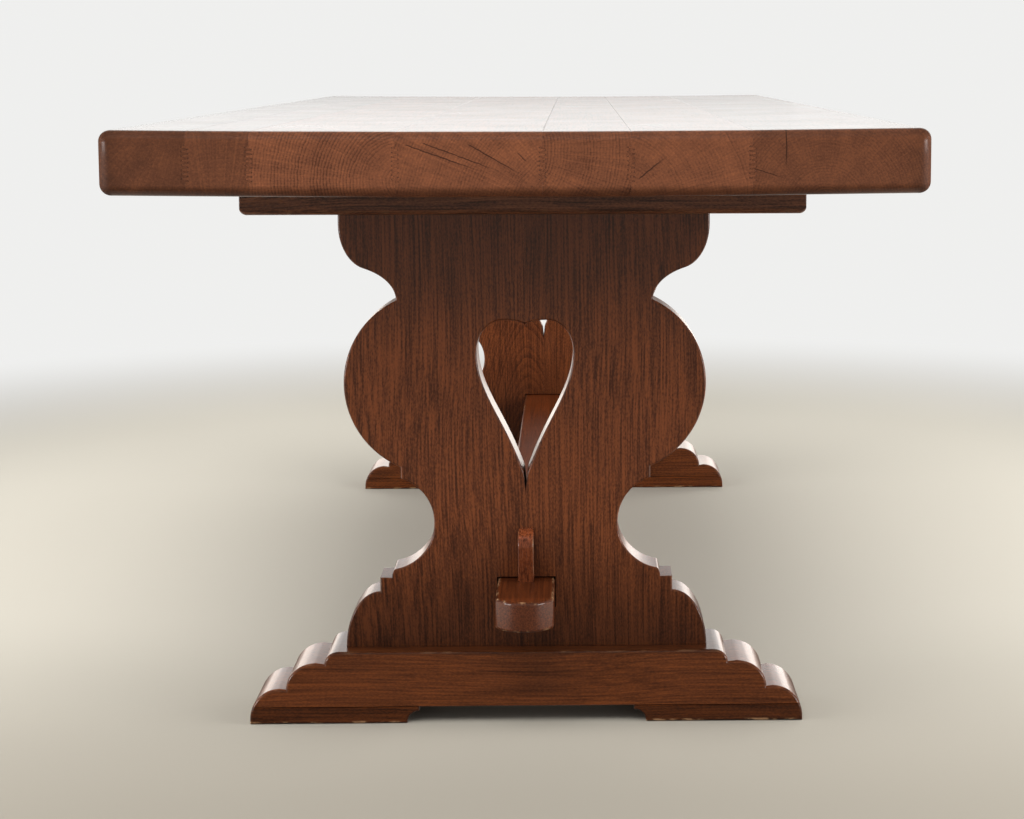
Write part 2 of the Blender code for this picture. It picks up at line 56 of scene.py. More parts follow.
FOOT_LOW, FOOT_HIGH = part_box("near_foot")
PAD_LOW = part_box("near_foot_pad_right")[0]
STRETCHER_LOW, STRETCHER_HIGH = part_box("stretcher")
WEDGE_LOW, WEDGE_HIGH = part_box("near_wedge")
TRESTLE_Y = -(CLEAT_LOW.y + CLEAT_HIGH.y) / 2
BOARDS = 7
SCREWS_PER_CLEAT = 4
SIDES = ("left", "right")

# Sizes of the shapes, as the solids have them. A pair is a width and a height
SEAT_GAP = 0.0003
TOP_ARRIS = 0.013
PANEL_THICKNESS = 0.052
PANEL_FACE = PANEL_THICKNESS / 2          # from the middle of its trestle
PANEL_BOTTOM = FOOT_HIGH.z + SEAT_GAP
PANEL_TOP = CLEAT_LOW.z - SEAT_GAP
BASE_HALF_WIDTH = 0.2325
BASE_LOBE = (0.0445, 0.073)
STEP_RISE = 0.018
STEP_TREAD = 0.0155
STEP_NOSE = (0.005, 0.0112)
COVE_HEIGHT = 0.1184
COVE_SHIFT = 0.008
COVE_DEPTH = 0.0457
LIP_RISE = 0.0143
BULGE_HEIGHT = 0.2153
BULGE_SHIFT = 0.0037
BULGE_DEPTH = 0.0697
NECK = (0.0783, 0.04644)     # half axes of its ellipse, of which a share is used
NECK_SHARE = 0.683
SHOULDER = (0.0397, 0.05706)
SHOULDER_START = 0.139
BULGE_BOTTOM = PANEL_BOTTOM + BASE_LOBE[1] + STEP_RISE + STEP_NOSE[1] + COVE_HEIGHT + LIP_RISE
HEART_LIFT = 0.0434          # from the middle of the bulge up to the heart's widest line
HEART_MIDDLE = BULGE_BOTTOM + BULGE_HEIGHT / 2 + HEART_LIFT
HEART_HALF_WIDTH = 0.0614
HEART_CREST_OFFSET = 0.0274
HEART_CREST_RISE = 0.0384
HEART_DIP = 0.0074
HEART_SIDE_PULL = 0.056      # how strongly its side keeps upright, and keeps to its lean at the point
HEART_POINT_PULL = 0.080
HEART_POINT_LEAN = math.radians(19.3)
HEART_POINT_DROP = 0.1587
HEART_POINT = HEART_MIDDLE - HEART_POINT_DROP
KERF_WIDTH = 0.0044          # saw cut under the point
KERF_LENGTH = 0.0223
KERF_FOOT = HEART_POINT - KERF_LENGTH
FOOT_LEDGE = 0.0085
FIRST_LOBE = (0.0177, 0.0161)
SECOND_LOBE = (0.0113, 0.0385, 0.0344)     # lead up to its crest, width and height
THIRD_LOBE = (0.0085, 0.038, 0.040)
FOOT_FACE = (FOOT_HIGH.y - FOOT_LOW.y) / 2
PAD_HEIGHT = FOOT_LOW.z
PAD_LIP = 0.006
PAD_COVE_WIDTH = 0.0155
CLEAT_ARRIS = 0.008
TENON_HEIGHT = 0.039
TENON_TOP = STRETCHER_HIGH.z
TENON_BOTTOM = TENON_TOP - TENON_HEIGHT
TENON_NOSE = 0.021
MORTISE_PLAY = 0.0019
MORTISE_SIDE_PLAY = 0.0014
WEDGE_TAIL = TENON_BOTTOM - WEDGE_LOW.z
WEDGE_TIP_DEPTH = 0.014
WEDGE_CROWN_DEPTH = 0.024
WEDGE_ROUND = (0.018, 0.022)
WEDGE_DRAW = 0.003
SCREW_HEAD_HEIGHT = 0.0036
SCREW_SIZES = {"Head radius": 0.0055, "Head height": SCREW_HEAD_HEIGHT, "Shank radius": 0.00275,
               "Length": 0.060, "Slot width": 0.0012, "Slot depth": 0.0014}
COUNTERBORE_RADIUS = 0.0075

# Finish of the shapes
TOP_CUP = 0.0030             # how far the middle of the top has sunk below its edges
GLUE_TEETH = 8
GLUE_TOOTH_PITCH = 0.0050
GLUE_TOOTH_DEPTH = 0.0070
GLUE_HALF_HEIGHT = GLUE_TEETH * GLUE_TOOTH_PITCH / 2
GLUE_TOOTH_FLATS = ((1, (0.10, 0.40)), (-1, (0.60, 0.90)))     # side and stretch of a pitch
GLUE_GROOVE = 0.0007         # shallow groove along each joint of the top
PANEL_SOFT = 0.0026          # roundings of the edges
NOSE_SOFT = 0.0012
FOOT_SOFT = 0.0032
SEAM_SOFT = 0.0005
SEAM_GAP = 0.00003           # glue line between the halves of a panel
MORTISE_DEPTH = 0.012        # how deep the loose stretch at each end of a mortise runs
TENON_SOFT = 0.0042
WEDGE_SOFT = 0.0018
CLEAT_SOFT = 0.0010
ROUNDING_STEPS = 4
LOBE_STEPS = 14
ARC_STEPS = 44
SMOOTH_LIMIT = math.radians(40)
SMOOTH_TURN = 0.3            # sine of the turn below which a point lies on a curve, not at a corner
MERGE_DISTANCE = 1e-7
SCREW_TIP_SHARE = 0.55       # radius of a screw's tip beside its shank's
SCREW_SEED = 4


class Pen:
    """Traces an outline by moves from the last point."""

    def __init__(self, across, up):
        self.points = [(across, up)]

    def line(self, across, up):
        """Straight move."""
        last = self.points[-1]
        self.points.append((last[0] + across, last[1] + up))

    def lobe(self, across, up, upright_first, first=0.0, last=1.0):
        """Quarter of an ellipse, or the stretch of it from first to last, upright or level at its start."""
        def share(part):
            angle = math.pi / 2 * part
            early, late = 1 - math.cos(angle), math.sin(angle)
            return (early, late) if upright_first else (late, early)

        x, z = self.points[-1]
        start = share(first)
        for step in range(1, LOBE_STEPS + 1):
            spot = share(first + (last - first) * step / LOBE_STEPS)
            self.points.append((x + across * (spot[0] - start[0]), z + up * (spot[1] - start[1])))

    def arc(self, across, up, depth):
        """Arc of a circle that stands out by depth to the right of its chord (left where negative)."""
        x, z = self.points[-1]
        chord = math.hypot(across, up)
        half = 2 * math.atan(2 * abs(depth) / chord)
        radius = chord / 2 / math.sin(half)
        along = (across / chord, up / chord)
        out = (math.copysign(along[1], along[1] * depth), math.copysign(along[0], -along[0] * depth))
        for step in range(1, ARC_STEPS + 1):
            angle = half * (2 * step / ARC_STEPS - 1)
            forward = chord / 2 + radius * math.sin(angle)
            outward = radius * (math.cos(angle) - math.cos(half))
            self.points.append((x + along[0] * forward + out[0] * outward,
                                z + along[1] * forward + out[1] * outward))

    def curve(self, leave, arrive, end):
        """Cubic curve to an end, that sets out towards one point and comes in from another."""
        corners = (self.points[-1], leave, arrive, end)
        for step in range(1, ARC_STEPS + 1):
            late = step / ARC_STEPS
            early = 1 - late
            shares = (early ** 3, 3 * early ** 2 * late, 3 * early * late ** 2, late ** 3)
            self.points.append(tuple(sum(share * corner[axis] for share, corner in zip(shares, corners))
                                     for axis in (0, 1)))


def mirrored(outline):
    """Reflects an outline in the centre line."""
    return [(-across, up) for across, up in reversed(outline)]


def mesh_of(name, shape):
    """Turns a shape into a mesh whose faces point outwards."""
    bmesh.ops.recalc_face_normals(shape, faces=shape.faces)
    mesh = bpy.data.meshes.new(name)
    shape.to_mesh(mesh)
    shape.free()
    return mesh


def inset(outline, distances):
    """Moves each edge of an anticlockwise outline inwards by its own distance."""
    def inward(start, end):
        across, up = end[0] - start[0], end[1] - start[1]
        length = math.hypot(across, up)
        return -up / length, across / length

    moved = []
    for index, point in enumerate(outline):
        first = inward(outline[index - 1], point)
        second = inward(point, outline[(index + 1) % len(outline)])
        far, near = distances[index - 1], distances[index]
        turn = first[0] * second[1] - first[1] * second[0]
        if abs(turn) < SMOOTH_TURN:
            shift = [(far + near) / 4 * (ahead + behind) for ahead, behind in zip(first, second)]
        else:
            shift = ((far * second[1] - near * first[1]) / turn, (near * first[0] - far * second[0]) / turn)
        moved.append((point[0] + shift[0], point[1] + shift[1]))
    return moved


def rounded_prism(name, outline, low, high, along, rounding):
    """Extrudes an outline along an axis and rounds its end edges.

    rounding gives the radius for the edge between two points. The arris attribute is 1 on the crest of
    each rounding and 0 on the flats.
    """
    axis = "XYZ".index(along)
    count = len(outline)
    radii = [rounding(outline[index], outline[(index + 1) % count]) for index in range(count)]
    shape = bmesh.new()
    arris = shape.verts.layers.float.new("arris")
    angles = [math.pi / 2 * step / ROUNDING_STEPS for step in range(ROUNDING_STEPS + 1)]
    rings = []
    for end, inwards, turns in ((low, 1, reversed(angles)), (high, -1, angles)):
        for turn in turns:
            spots = inset(outline, [radius * (1 - math.cos(turn)) for radius in radii])
            ring = []
            for index, spot in enumerate(spots):
                radius = max(radii[index - 1], radii[index])
                place = list(spot)
                place.insert(axis, end + inwards * radius * (1 - math.sin(turn)))
                vert = shape.verts.new(place)
                vert[arris] = math.sin(2 * turn) if radius else 0.0
                ring.append(vert)
            rings.append(ring)
    shape.faces.new(rings[0])
    shape.faces.new(rings[-1])
    for lower, upper in zip(rings, rings[1:]):
        for index in range(count):
            shape.faces.new((lower[index - 1], lower[index], upper[index], upper[index - 1]))
    bmesh.ops.remove_doubles(shape, verts=shape.verts, dist=MERGE_DISTANCE)
    bmesh.ops.dissolve_degenerate(shape, edges=shape.edges, dist=MERGE_DISTANCE)
    return mesh_of(name, shape)


def prism(name, outline, low, high, along):
    """Extrudes an outline along an axis, with sharp edges."""
    return rounded_prism(name, outline, low, high, along, lambda start, end: 0.0)


def block(name, low, high):
    """Box between two corners."""
    outline = [(low[0], low[1]), (high[0], low[1]), (high[0], high[1]), (low[0], high[1])]
    return prism(name, outline, low[2], high[2], "Z")


def placed(name, data):
    """New object in the scene."""
    item = bpy.data.objects.new(name, data)
    bpy.context.collection.objects.link(item)
    return item


def apply_modifiers(piece):
    """Gives a piece the plain mesh that its modifiers make of it."""
    graph = bpy.context.evaluated_depsgraph_get()
    finished = bpy.data.meshes.new_from_object(piece.evaluated_get(graph))
    piece.modifiers.clear()
    piece.data = finished


def carve(mesh, tools, operation="DIFFERENCE"):
    """Cuts tool meshes out of a mesh, or joins them to it or keeps what they share."""
    pieces = [placed("carved", shape) for shape in (mesh, *tools)]
    for tool in pieces[1:]:
        modifier = pieces[0].modifiers.new("carve", "BOOLEAN")
        modifier.operation = operation
        modifier.solver = "EXACT"
        modifier.object = tool
    apply_modifiers(pieces[0])
    result = pieces[0].data
    for piece in pieces:
        bpy.data.objects.remove(piece, do_unlink=True)
    return result


def moved(mesh, matrix):
    """Copy of a mesh, turned, mirrored or moved."""
    copy = mesh.copy()
    copy.transform(matrix)
    if matrix.determinant() < 0:
        copy.flip_normals()
    return copy


def add_piece(name, mesh, nodes, surface, body="table"):
    """Adds a finished piece that stands for CAD nodes and moves with a body."""
    mesh.shade_smooth()
    mesh.set_sharp_from_angle(angle=SMOOTH_LIMIT)
    piece = placed(name, mesh)
    even = piece.modifiers.new("even_shading", "WEIGHTED_NORMAL")
    even.keep_sharp = True
    apply_modifiers(piece)
    piece.data.materials.clear()
    piece.data.materials.append(surface)
    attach(piece, body)
    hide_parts(*nodes)


class Wire:
    """A socket of a node tree. Sums on wires add Math nodes, and make adds any other node."""

    def __init__(self, tree, socket=None):
        self.tree = tree
        self.socket = socket

    def make(self, kind, inputs=(), settings=(), output=0):
        """Adds a node, with its settings first and then its sockets' values or links."""
        node = self.tree.nodes.new(kind)
        for name, value in dict(settings).items():
            if name == "stops":
                self.fill_ramp(node.color_ramp, value)
            else:
                setattr(node, name, value)
        for name, value in dict(inputs).items():
            if isinstance(value, Wire):
                self.tree.links.new(value.socket, node.inputs[name])
            else:
                node.inputs[name].default_value = value
        return Wire(self.tree, node.outputs[output] if node.outputs else None)

    @staticmethod
    def fill_ramp(ramp, stops):
        """Gives a colour ramp its stops."""
        while len(ramp.elements) < len(stops):
            ramp.elements.new(0.5)
        for element, (place, tone) in zip(ramp.elements, stops):
            element.position = place
            element.color = (*tone, 1.0)

    def math(self, operation, *values):
        """Adds a Math node on these values."""
        return self.make("ShaderNodeMath", dict(enumerate(values)), {"operation": operation})

    def __add__(self, other):
        return self.math("ADD", self, other)

    def __radd__(self, other):
        return self.math("ADD", other, self)

    def __sub__(self, other):
        return self.math("SUBTRACT", self, other)

    def __rsub__(self, other):
        return self.math("SUBTRACT", other, self)

    def __mul__(self, other):
        return self.math("MULTIPLY", self, other)

    def __truediv__(self, other):
        return self.math("DIVIDE", self, other)

    def __abs__(self):
        return self.math("ABSOLUTE", self)

    def root(self):
        """Square root."""
        return self.math("SQRT", self)

    def fraction(self):
        """What is left after the whole number."""
        return self.math("FRACT", self)

    def least(self, other):
        """The smaller of two values."""
        return self.math("MINIMUM", self, other)

    def most(self, other):
        """The larger of two values."""
        return self.math("MAXIMUM", self, other)

    def rise(self, low, high):
        """Smooth step from 0 at low to 1 at high."""
        return self.make("ShaderNodeMapRange", {"Value": self, "From Min": low, "From Max": high},
                         {"interpolation_type": "SMOOTHSTEP"})

    def vector(self, x, y, z):
        """Joins three values."""
        return self.make("ShaderNodeCombineXYZ", {"X": x, "Y": y, "Z": z})

    def place(self):
        """X, Y and Z of a place on the surface, in the piece's own coordinates."""
        spot = self.make("ShaderNodeTexCoord", output="Object")
        return [self.make("ShaderNodeSeparateXYZ", {0: spot}, output=axis) for axis in "XYZ"]

    def noise(self, x, y, z, detail=1.0):
        """Smooth noise from 0 to 1 at a place that is given in the noise's own units."""
        return self.make("ShaderNodeTexNoise", {"Vector": self.vector(x, y, z), "Scale": 1.0,
                                                   "Detail": detail})

    def blend(self, factor, first, second):
        """Colour between two colours."""
        return self.make("ShaderNodeMix", {0: factor, 6: first, 7: second}, {"data_type": "RGBA"}, 2)


def emptied(owner):
    """Wire into the node tree of a material or the world, with its first nodes taken out."""
    owner.use_nodes = True
    owner.node_tree.nodes.clear()
    return Wire(owner.node_tree)


def colour(red, green, blue):
    """Opaque colour."""
    return red, green, blue, 1.0


TOP_TONE = (0.196, 0.066, 0.030)
PANEL_TONE = (0.154, 0.0425, 0.0140)
FOOT_TONE = (0.101, 0.0270, 0.0072)
PAD_TONE = (0.058, 0.0150, 0.0036)
CLEAT_TONE = (0.120, 0.0425, 0.0200)
TENON_TONE = (0.057, 0.0136, 0.0038)
WEDGE_TONE = (0.122, 0.0310, 0.0115)
LIGHT_SHARE = (1.62, 1.60, 1.45)       # light streaks and dark rings beside the middle tone
DARK_SHARE = (0.42, 0.40, 0.40)
WORN_TONE = colour(0.36, 0.20, 0.10)
PORE_TONE = colour(0.020, 0.007, 0.004)
ZINC_TONE = colour(0.50, 0.49, 0.47)
DARK_ZINC_TONE = colour(0.24, 0.22, 0.20)
LACQUER_ROUGHNESS = 0.30
LACQUER_GLOSS = 0.25         # specular level of the lacquer
COAT_ROUGHNESS = 0.12
PORE_DARKNESS = 0.42         # share of the pores' tone in each dark mark
CRACK_DARKNESS = 0.80
GLUE_DARKNESS = 0.62

# Marks in the wood: how fine across and along the grain, how detailed, and a shift of their own
RING_WOBBLE = (60.0, 12.0, 2.0, 3.1)
STREAKS = (430.0, 6.0, 2.0, 11.7)
PATCHES = (34.0, 6.0, 2.0, 23.9)
DASHES = (620.0, 260.0, 1.0, 5.3)
PORES = (640.0, 36.0, 1.0, 31.7)


def cup_at(across):
    """How far the top has sunk at a place across it."""
    return (1 - across * across * (2 / TOP_WIDTH) ** 2) * TOP_CUP


def crack(wire, across, up, start, end, width):
    """Dark hairline from one point of the end grain to another."""
    length = math.hypot(end[0] - start[0], end[1] - start[1])
    aim = ((end[0] - start[0]) / length, (end[1] - start[1]) / length)
    run = (across - start[0]) * aim[0] + (up - start[1]) * aim[1]
    drift = wire.noise(run * 160, start[0] * 900, 0.0, 2.0) - 0.5
    off = (across - start[0]) * aim[1] - (up - start[1]) * aim[0] + drift * 0.0016
    inside = run.rise(-0.001, 0.003) * (1 - run.rise(length * 0.55, length))
    return inside * (1 - abs(off).rise(width * 0.3, width))


def glue_line(across, up, line):
    """Dark line of glue along the zig-zag of a joint."""
    flat = up + cup_at(line) - TOP_MIDDLE
    turn = ((flat + GLUE_HALF_HEIGHT) / GLUE_TOOTH_PITCH + 0.25).fraction()
    swing = ((0.25 - abs(turn - 0.5)) * 10).most(-1.0).least(1.0)
    toothed = 1 - abs(flat).rise(GLUE_HALF_HEIGHT - 0.0002, GLUE_HALF_HEIGHT + 0.0002)
    edge = swing * toothed * (GLUE_TOOTH_DEPTH / 2) + line
    return (1 - abs(across - edge).rise(0.0003, 0.0011)) * (toothed * 0.85 + 0.15)


def scaled(tone, share):
    """Tone with each channel multiplied by a share."""
    return [part * factor for part, factor in zip(tone, share)]


def oak(name, grain, pith, seed, tone, ring=0.0042, taper=0.02, wander=0.02, figure=1.0, tint=1.0,
        rays=0.0, wear=0.15, cracks=(), joints=(), shade=None, polish=0.0, coat=0.25, contrast=1.5,
        ends=0.0, rim=0.3):
    """Stained and lacquered oak with growth rings round a pith line, pores, streaks and worn edges.

    grain is the axis of the grain and pith the place of the pith line on the other two axes. shade, where
    it is given, makes a factor of the colour from the place x, y, z, and wear, polish and coat may be made
    in the same way.
    ends, where it is given, is the place of the end grain on either side of the middle.
    """
    surface = bpy.data.materials.new(name)
    wire = emptied(surface)
    x, y, z = wire.place()
    along = {"X": x, "Y": y, "Z": z}[grain]
    across, up = [value for axis, value in zip("XYZ", (x, y, z)) if axis != grain]

    bend = (wire.noise(across * 4 + seed, up * 4, along * 2.6 + seed) - 0.5) * 0.03

    def lengthwise(cross, lengthways, detail, shift):
        spot = wire.noise((across + bend) * cross + shift, (up + bend) * cross + seed,
                          along * lengthways + shift, detail)
        return spot - 0.5

    sway = lengthwise(2.0, 1.6, 1.0, seed) * wander
    wobble = lengthwise(*RING_WOBBLE) * 0.0042
    away = across - pith[0] + sway
    over = up - pith[1] + sway
    radius = (away * away + over * over).root()
    age = (radius + wobble + along * taper) / ring
    strength = wire.noise(age * 0.37, seed, along * 0.8).rise(0.25, 0.75)
    early = (1 - age.fraction() * 1.5).most(0.0) * (strength * 0.8 + 0.2) * figure
    streak = lengthwise(*STREAKS)
    patch = lengthwise(*PATCHES)
    dash = lengthwise(*DASHES)
    end = abs(along).rise(ends - 0.012, ends - 0.002) if ends else 0.0
    pore = lengthwise(*PORES).rise(0.07, 0.22) * (early * 0.6 + 0.4) * (1 - end * 0.6)
    fan = wire.noise(away / radius * 75, over / radius * 75, along * 9 + seed, 2.0)
    mottle = (streak * 1.3 + dash * 0.8) * (1 - end * 0.6) * contrast + patch * (end * 0.2 + 0.45)
    depth = early * (end * 0.12 + 0.34) + mottle + (fan - 0.5) * (end * 0.6) + 0.36
    light, dark = scaled(tone, LIGHT_SHARE), scaled(tone, DARK_SHARE)
    shown = wire.make("ShaderNodeValToRGB", {"Fac": depth},
                      {"stops": ((0.06, light), (0.44, tone), (0.88, dark))})
    shown = wire.blend(pore * PORE_DARKNESS, shown, PORE_TONE)
    if rays:
        shown = wire.blend(fan.rise(0.55, 0.75) * rays, shown, colour(*light))
    for start, stop, width in cracks:
        mark = crack(wire, across, up, start, stop, width)
        shown = wire.blend(mark * CRACK_DARKNESS, shown, PORE_TONE)
    for line in joints:
        shown = wire.blend(glue_line(across, up, line) * GLUE_DARKNESS, shown, PORE_TONE)
    factor = shade(x, y, z) * tint if shade else tint
    shown = wire.make("ShaderNodeMix", {0: 1.0, 6: shown, 7: wire.vector(factor, factor, factor)},
                      {"data_type": "RGBA", "blend_type": "MULTIPLY"}, 2)
    arris = wire.make("ShaderNodeAttribute", settings={"attribute_name": "arris"}, output="Fac")
    scuff = wire.noise(across * 150, up * 150 + seed, along * 60, 3.0)
    worn = wear(x, y, z) if callable(wear) else arris * wear
    shown = wire.blend(arris * rim, shown, PORE_TONE)
    shown = wire.blend(scuff.rise(0.50, 0.72) * worn, shown, WORN_TONE)
    smudge = wire.noise(x * 9, y * 9, z * 9 + seed, 2.0)
    polished = polish(x, y, z) if callable(polish) else polish
    roughness = LACQUER_ROUGHNESS - polished + (smudge - 0.5) * 0.12 + pore * 0.10
    height = scuff * 0.10 - pore * 0.6 - early * 0.25 + streak * 0.25
    normal = wire.make("ShaderNodeBump", {"Strength": 0.12, "Distance": 0.0006, "Height": height})
    coated = coat(x, y, z) if callable(coat) else coat
    shader = wire.make("ShaderNodeBsdfPrincipled",
                       {"Base Color": shown, "Roughness": roughness, "Normal": normal,
                        "Specular IOR Level": LACQUER_GLOSS, "Coat Weight": coated,
                        "Coat Roughness": COAT_ROUGHNESS})
    wire.make("ShaderNodeOutputMaterial", {"Surface": shader})
    return surface


def zinc():
    """Dull zinc of the screws, with darker patches."""
    surface = bpy.data.materials.new("dull_zinc")
    wire = emptied(surface)
    patch = wire.noise(*(axis * 420 for axis in wire.place()), 3.0)
    tone = wire.blend(patch.rise(0.35, 0.7), ZINC_TONE, DARK_ZINC_TONE)
    shader = wire.make("ShaderNodeBsdfPrincipled",
                       {"Base Color": tone, "Roughness": patch * 0.3 + 0.3, "Metallic": 1.0})
    wire.make("ShaderNodeOutputMaterial", {"Surface": shader})
    return surface


def joint_lines():
    """Places of the glue joints across the top, from left to right."""
    edges = [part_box(f"top_board_{number}") for number in range(1, BOARDS + 1)]
    return [(left[1].x + right[0].x) / 2 for left, right in zip(edges, edges[1:])]


def glue_edge(across, inwards):
    """Zig-zag edge of a plank at a milled glue joint, from under the top to the groove over the joint."""
    points = [(across, TOP_LOW.z - TOP_ARRIS), (across, TOP_MIDDLE - GLUE_HALF_HEIGHT)]
    for tooth in range(GLUE_TEETH):
        foot = TOP_MIDDLE - GLUE_HALF_HEIGHT + tooth * GLUE_TOOTH_PITCH
        for side, shares in GLUE_TOOTH_FLATS:
            points += [(across + side * GLUE_TOOTH_DEPTH / 2, foot + GLUE_TOOTH_PITCH * share)
                       for share in shares]
    points += [(across, TOP_MIDDLE + GLUE_HALF_HEIGHT), (across, TOP_HIGH.z - GLUE_GROOVE)]
    points.append((across + inwards * 2 * GLUE_GROOVE, TOP_HIGH.z + GLUE_GROOVE))
    return points


def sink(mesh):
    """Cups a plank: the top's middle sinks and its edges stay."""
    for vert in mesh.vertices:
        vert.co.z -= cup_at(vert.co.x)


def mark_slab_arris(mesh):
    """Gives the arris attribute to the points on the top's rounded edges."""
    values = []
    for vert in mesh.vertices:
        reach = [max(0.0, abs(vert.co.x) - TOP_WIDTH / 2 + TOP_ARRIS),
                 max(0.0, abs(vert.co.y) - TOP_HIGH.y + TOP_ARRIS),
                 max(0.0, abs(vert.co.z - TOP_MIDDLE) - (TOP_HIGH.z - TOP_LOW.z) / 2 + TOP_ARRIS)]
        reach.sort()
        values.append(min(1.0, 4 * reach[1] * (TOP_ARRIS - reach[2] / 2) / TOP_ARRIS ** 2))
    mesh.attributes.new("arris", "FLOAT", "POINT").data.foreach_set("value", values)


def slab_mesh():
    """Whole top as one block with all its edges rounded."""
    shape = bmesh.new()
    bmesh.ops.create_cube(shape, size=1.0)
    for vert in shape.verts:
        vert.co = [low if place < 0 else high for place, low, high in zip(vert.co, TOP_LOW, TOP_HIGH)]
    bmesh.ops.bevel(shape, geom=shape.edges[:], offset=TOP_ARRIS, segments=2 * ROUNDING_STEPS, profile=0.5,
                    affect="EDGES", clamp_overlap=True)
    return mesh_of("slab", shape)


def make_top(surfaces):
    """Seven planks, each the part of the slab between two glue joints."""
    slab = slab_mesh()
    lines = [TOP_LOW.x - TOP_ARRIS, *joint_lines(), TOP_HIGH.x + TOP_ARRIS]
    half_gap = SEAM_GAP / 2
    for number, (left, right) in enumerate(zip(lines, lines[1:]), start=1):
        outline = glue_edge(right - half_gap, -1) + glue_edge(left + half_gap, 1)[::-1]
        plank = carve(prism("plank", outline, TOP_LOW.y - TOP_ARRIS, TOP_HIGH.y + TOP_ARRIS, "Y"),
                      [slab.copy()], "INTERSECT")
        mark_slab_arris(plank)
        sink(plank)
        add_piece(f"top_plank_{number}", plank, [f"top_board_{number}"], surfaces[number - 1])


def heart_outline(inner):
    """Right half of the heart, from the foot of the saw cut under its point up to its dip."""
    half = Pen(inner, KERF_FOOT)
    half.points.append((KERF_WIDTH / 2, HEART_POINT))
    half.curve((KERF_WIDTH / 2 + HEART_POINT_PULL * math.sin(HEART_POINT_LEAN),
                HEART_POINT + HEART_POINT_PULL * math.cos(HEART_POINT_LEAN)),
               (HEART_HALF_WIDTH, HEART_MIDDLE - HEART_SIDE_PULL), (HEART_HALF_WIDTH, HEART_MIDDLE))
    half.lobe(HEART_CREST_OFFSET - HEART_HALF_WIDTH, HEART_CREST_RISE, upright_first=True)
    half.lobe(inner - HEART_CREST_OFFSET, -HEART_DIP, upright_first=False)
    return half.points


def panel_mesh():
    """Right half of a trestle panel, in the middle of its trestle."""
    inner = SEAM_GAP / 2
    edge = Pen(BASE_HALF_WIDTH, PANEL_BOTTOM)
    edge.lobe(-BASE_LOBE[0], BASE_LOBE[1], upright_first=True)
    edge.line(0, STEP_RISE)
    edge.line(-STEP_TREAD, 0)
    edge.lobe(-STEP_NOSE[0], STEP_NOSE[1], upright_first=True)
    edge.arc(-COVE_SHIFT, COVE_HEIGHT, -COVE_DEPTH)
    edge.line(0, LIP_RISE)
    edge.arc(BULGE_SHIFT, BULGE_HEIGHT, BULGE_DEPTH)
    edge.lobe(*NECK, upright_first=True, last=NECK_SHARE)
    edge.lobe(*SHOULDER, upright_first=False, first=SHOULDER_START)
    edge.points.append((edge.points[-1][0], PANEL_TOP))
    mortise = STRETCHER_HIGH.x + SEAM_GAP
    mortise_top = TENON_TOP + SEAM_GAP
    mortise_bottom = TENON_BOTTOM - SEAM_GAP
    glued = [(inner, PANEL_BOTTOM), (inner, mortise_bottom), (mortise, mortise_bottom),
             (mortise, mortise_top), (inner, mortise_top)]
    glued += heart_outline(inner)
    glued.append((inner, PANEL_TOP))
    outline = edge.points + glued[::-1]
    tread = PANEL_BOTTOM + BASE_LOBE[1] + STEP_RISE

    def rounding(start, end):
        heights = sorted((start[1], end[1]))
        nose = tread - SEAM_GAP < heights[0] and heights[1] < tread + STEP_NOSE[1] + SEAM_GAP
        seated = start[1] == end[1] and start[1] in (PANEL_BOTTOM, PANEL_TOP)
        joined = start[0] <= mortise and end[0] <= mortise and heights[0] < HEART_POINT
        above = max(start[0], end[0]) < inner + SEAM_GAP
        if seated or joined or above:
            return 0.0
        return NOSE_SOFT if nose else PANEL_SOFT

    board = rounded_prism("panel", outline, -PANEL_FACE, PANEL_FACE, "Y", rounding)
    rooms = [block("room", (-MORTISE_DEPTH, low, mortise_bottom),
                   (STRETCHER_HIGH.x + MORTISE_SIDE_PLAY, high, TENON_TOP + MORTISE_PLAY))
             for low, high in ((-PANEL_THICKNESS, MORTISE_DEPTH - PANEL_FACE),
                               (PANEL_FACE - MORTISE_DEPTH, PANEL_THICKNESS))]
    return carve(board, rooms)


def foot_edge():
    """Scallops on the right of the foot, down to its pad, and the share of the last one above the pad."""
    def climb(lead, width, height):
        edge.line(lead, height * (1 - math.sqrt(1 - (lead / width) ** 2)))

    edge = Pen(BASE_HALF_WIDTH + FOOT_LEDGE, FOOT_HIGH.z)
    edge.lobe(FIRST_LOBE[0], -FIRST_LOBE[1], upright_first=False)
    climb(*SECOND_LOBE)
    edge.lobe(SECOND_LOBE[1], -SECOND_LOBE[2], upright_first=False)
    climb(*THIRD_LOBE)
    crest = edge.points[-1][1]
    share = math.acos(1 - (crest - PAD_HEIGHT) / THIRD_LOBE[2]) / (math.pi / 2)
    edge.lobe(THIRD_LOBE[1], -THIRD_LOBE[2], upright_first=False, last=share)
    return edge.points, share


def foot_prism(name, outline, glued):
    """Piece as deep as the foot, with soft edges but for the one at the height where it is glued."""
    def rounding(start, end):
        return SEAM_SOFT if start[1] == end[1] == glued else FOOT_SOFT

    return rounded_prism(name, outline, -FOOT_FACE, FOOT_FACE, "Y", rounding)


def foot_mesh():
    """Foot beam above its pads, in the middle of its trestle."""
    points = foot_edge()[0]
    return foot_prism("foot", (mirrored(points) + points)[::-1], points[-1][1])


def pad_mesh():
    """Right foot pad with a cove at its inner end, in the middle of its trestle."""
    points, share = foot_edge()
    glued = PAD_HEIGHT - SEAT_GAP
    toe = Pen(points[-1][0], glued)
    toe.lobe(THIRD_LOBE[1], SEAT_GAP - THIRD_LOBE[2], upright_first=False, first=share)
    outer = toe.points[-1][0]
    inner_end = Pen(PAD_LOW.x, glued)
    inner_end.line(0, -PAD_LIP)
    inner_end.lobe(PAD_COVE_WIDTH, SEAT_GAP + PAD_LIP - PAD_HEIGHT, upright_first=False)
    return foot_prism("pad", inner_end.points + [(outer, 0.0)] + toe.points[::-1], glued)


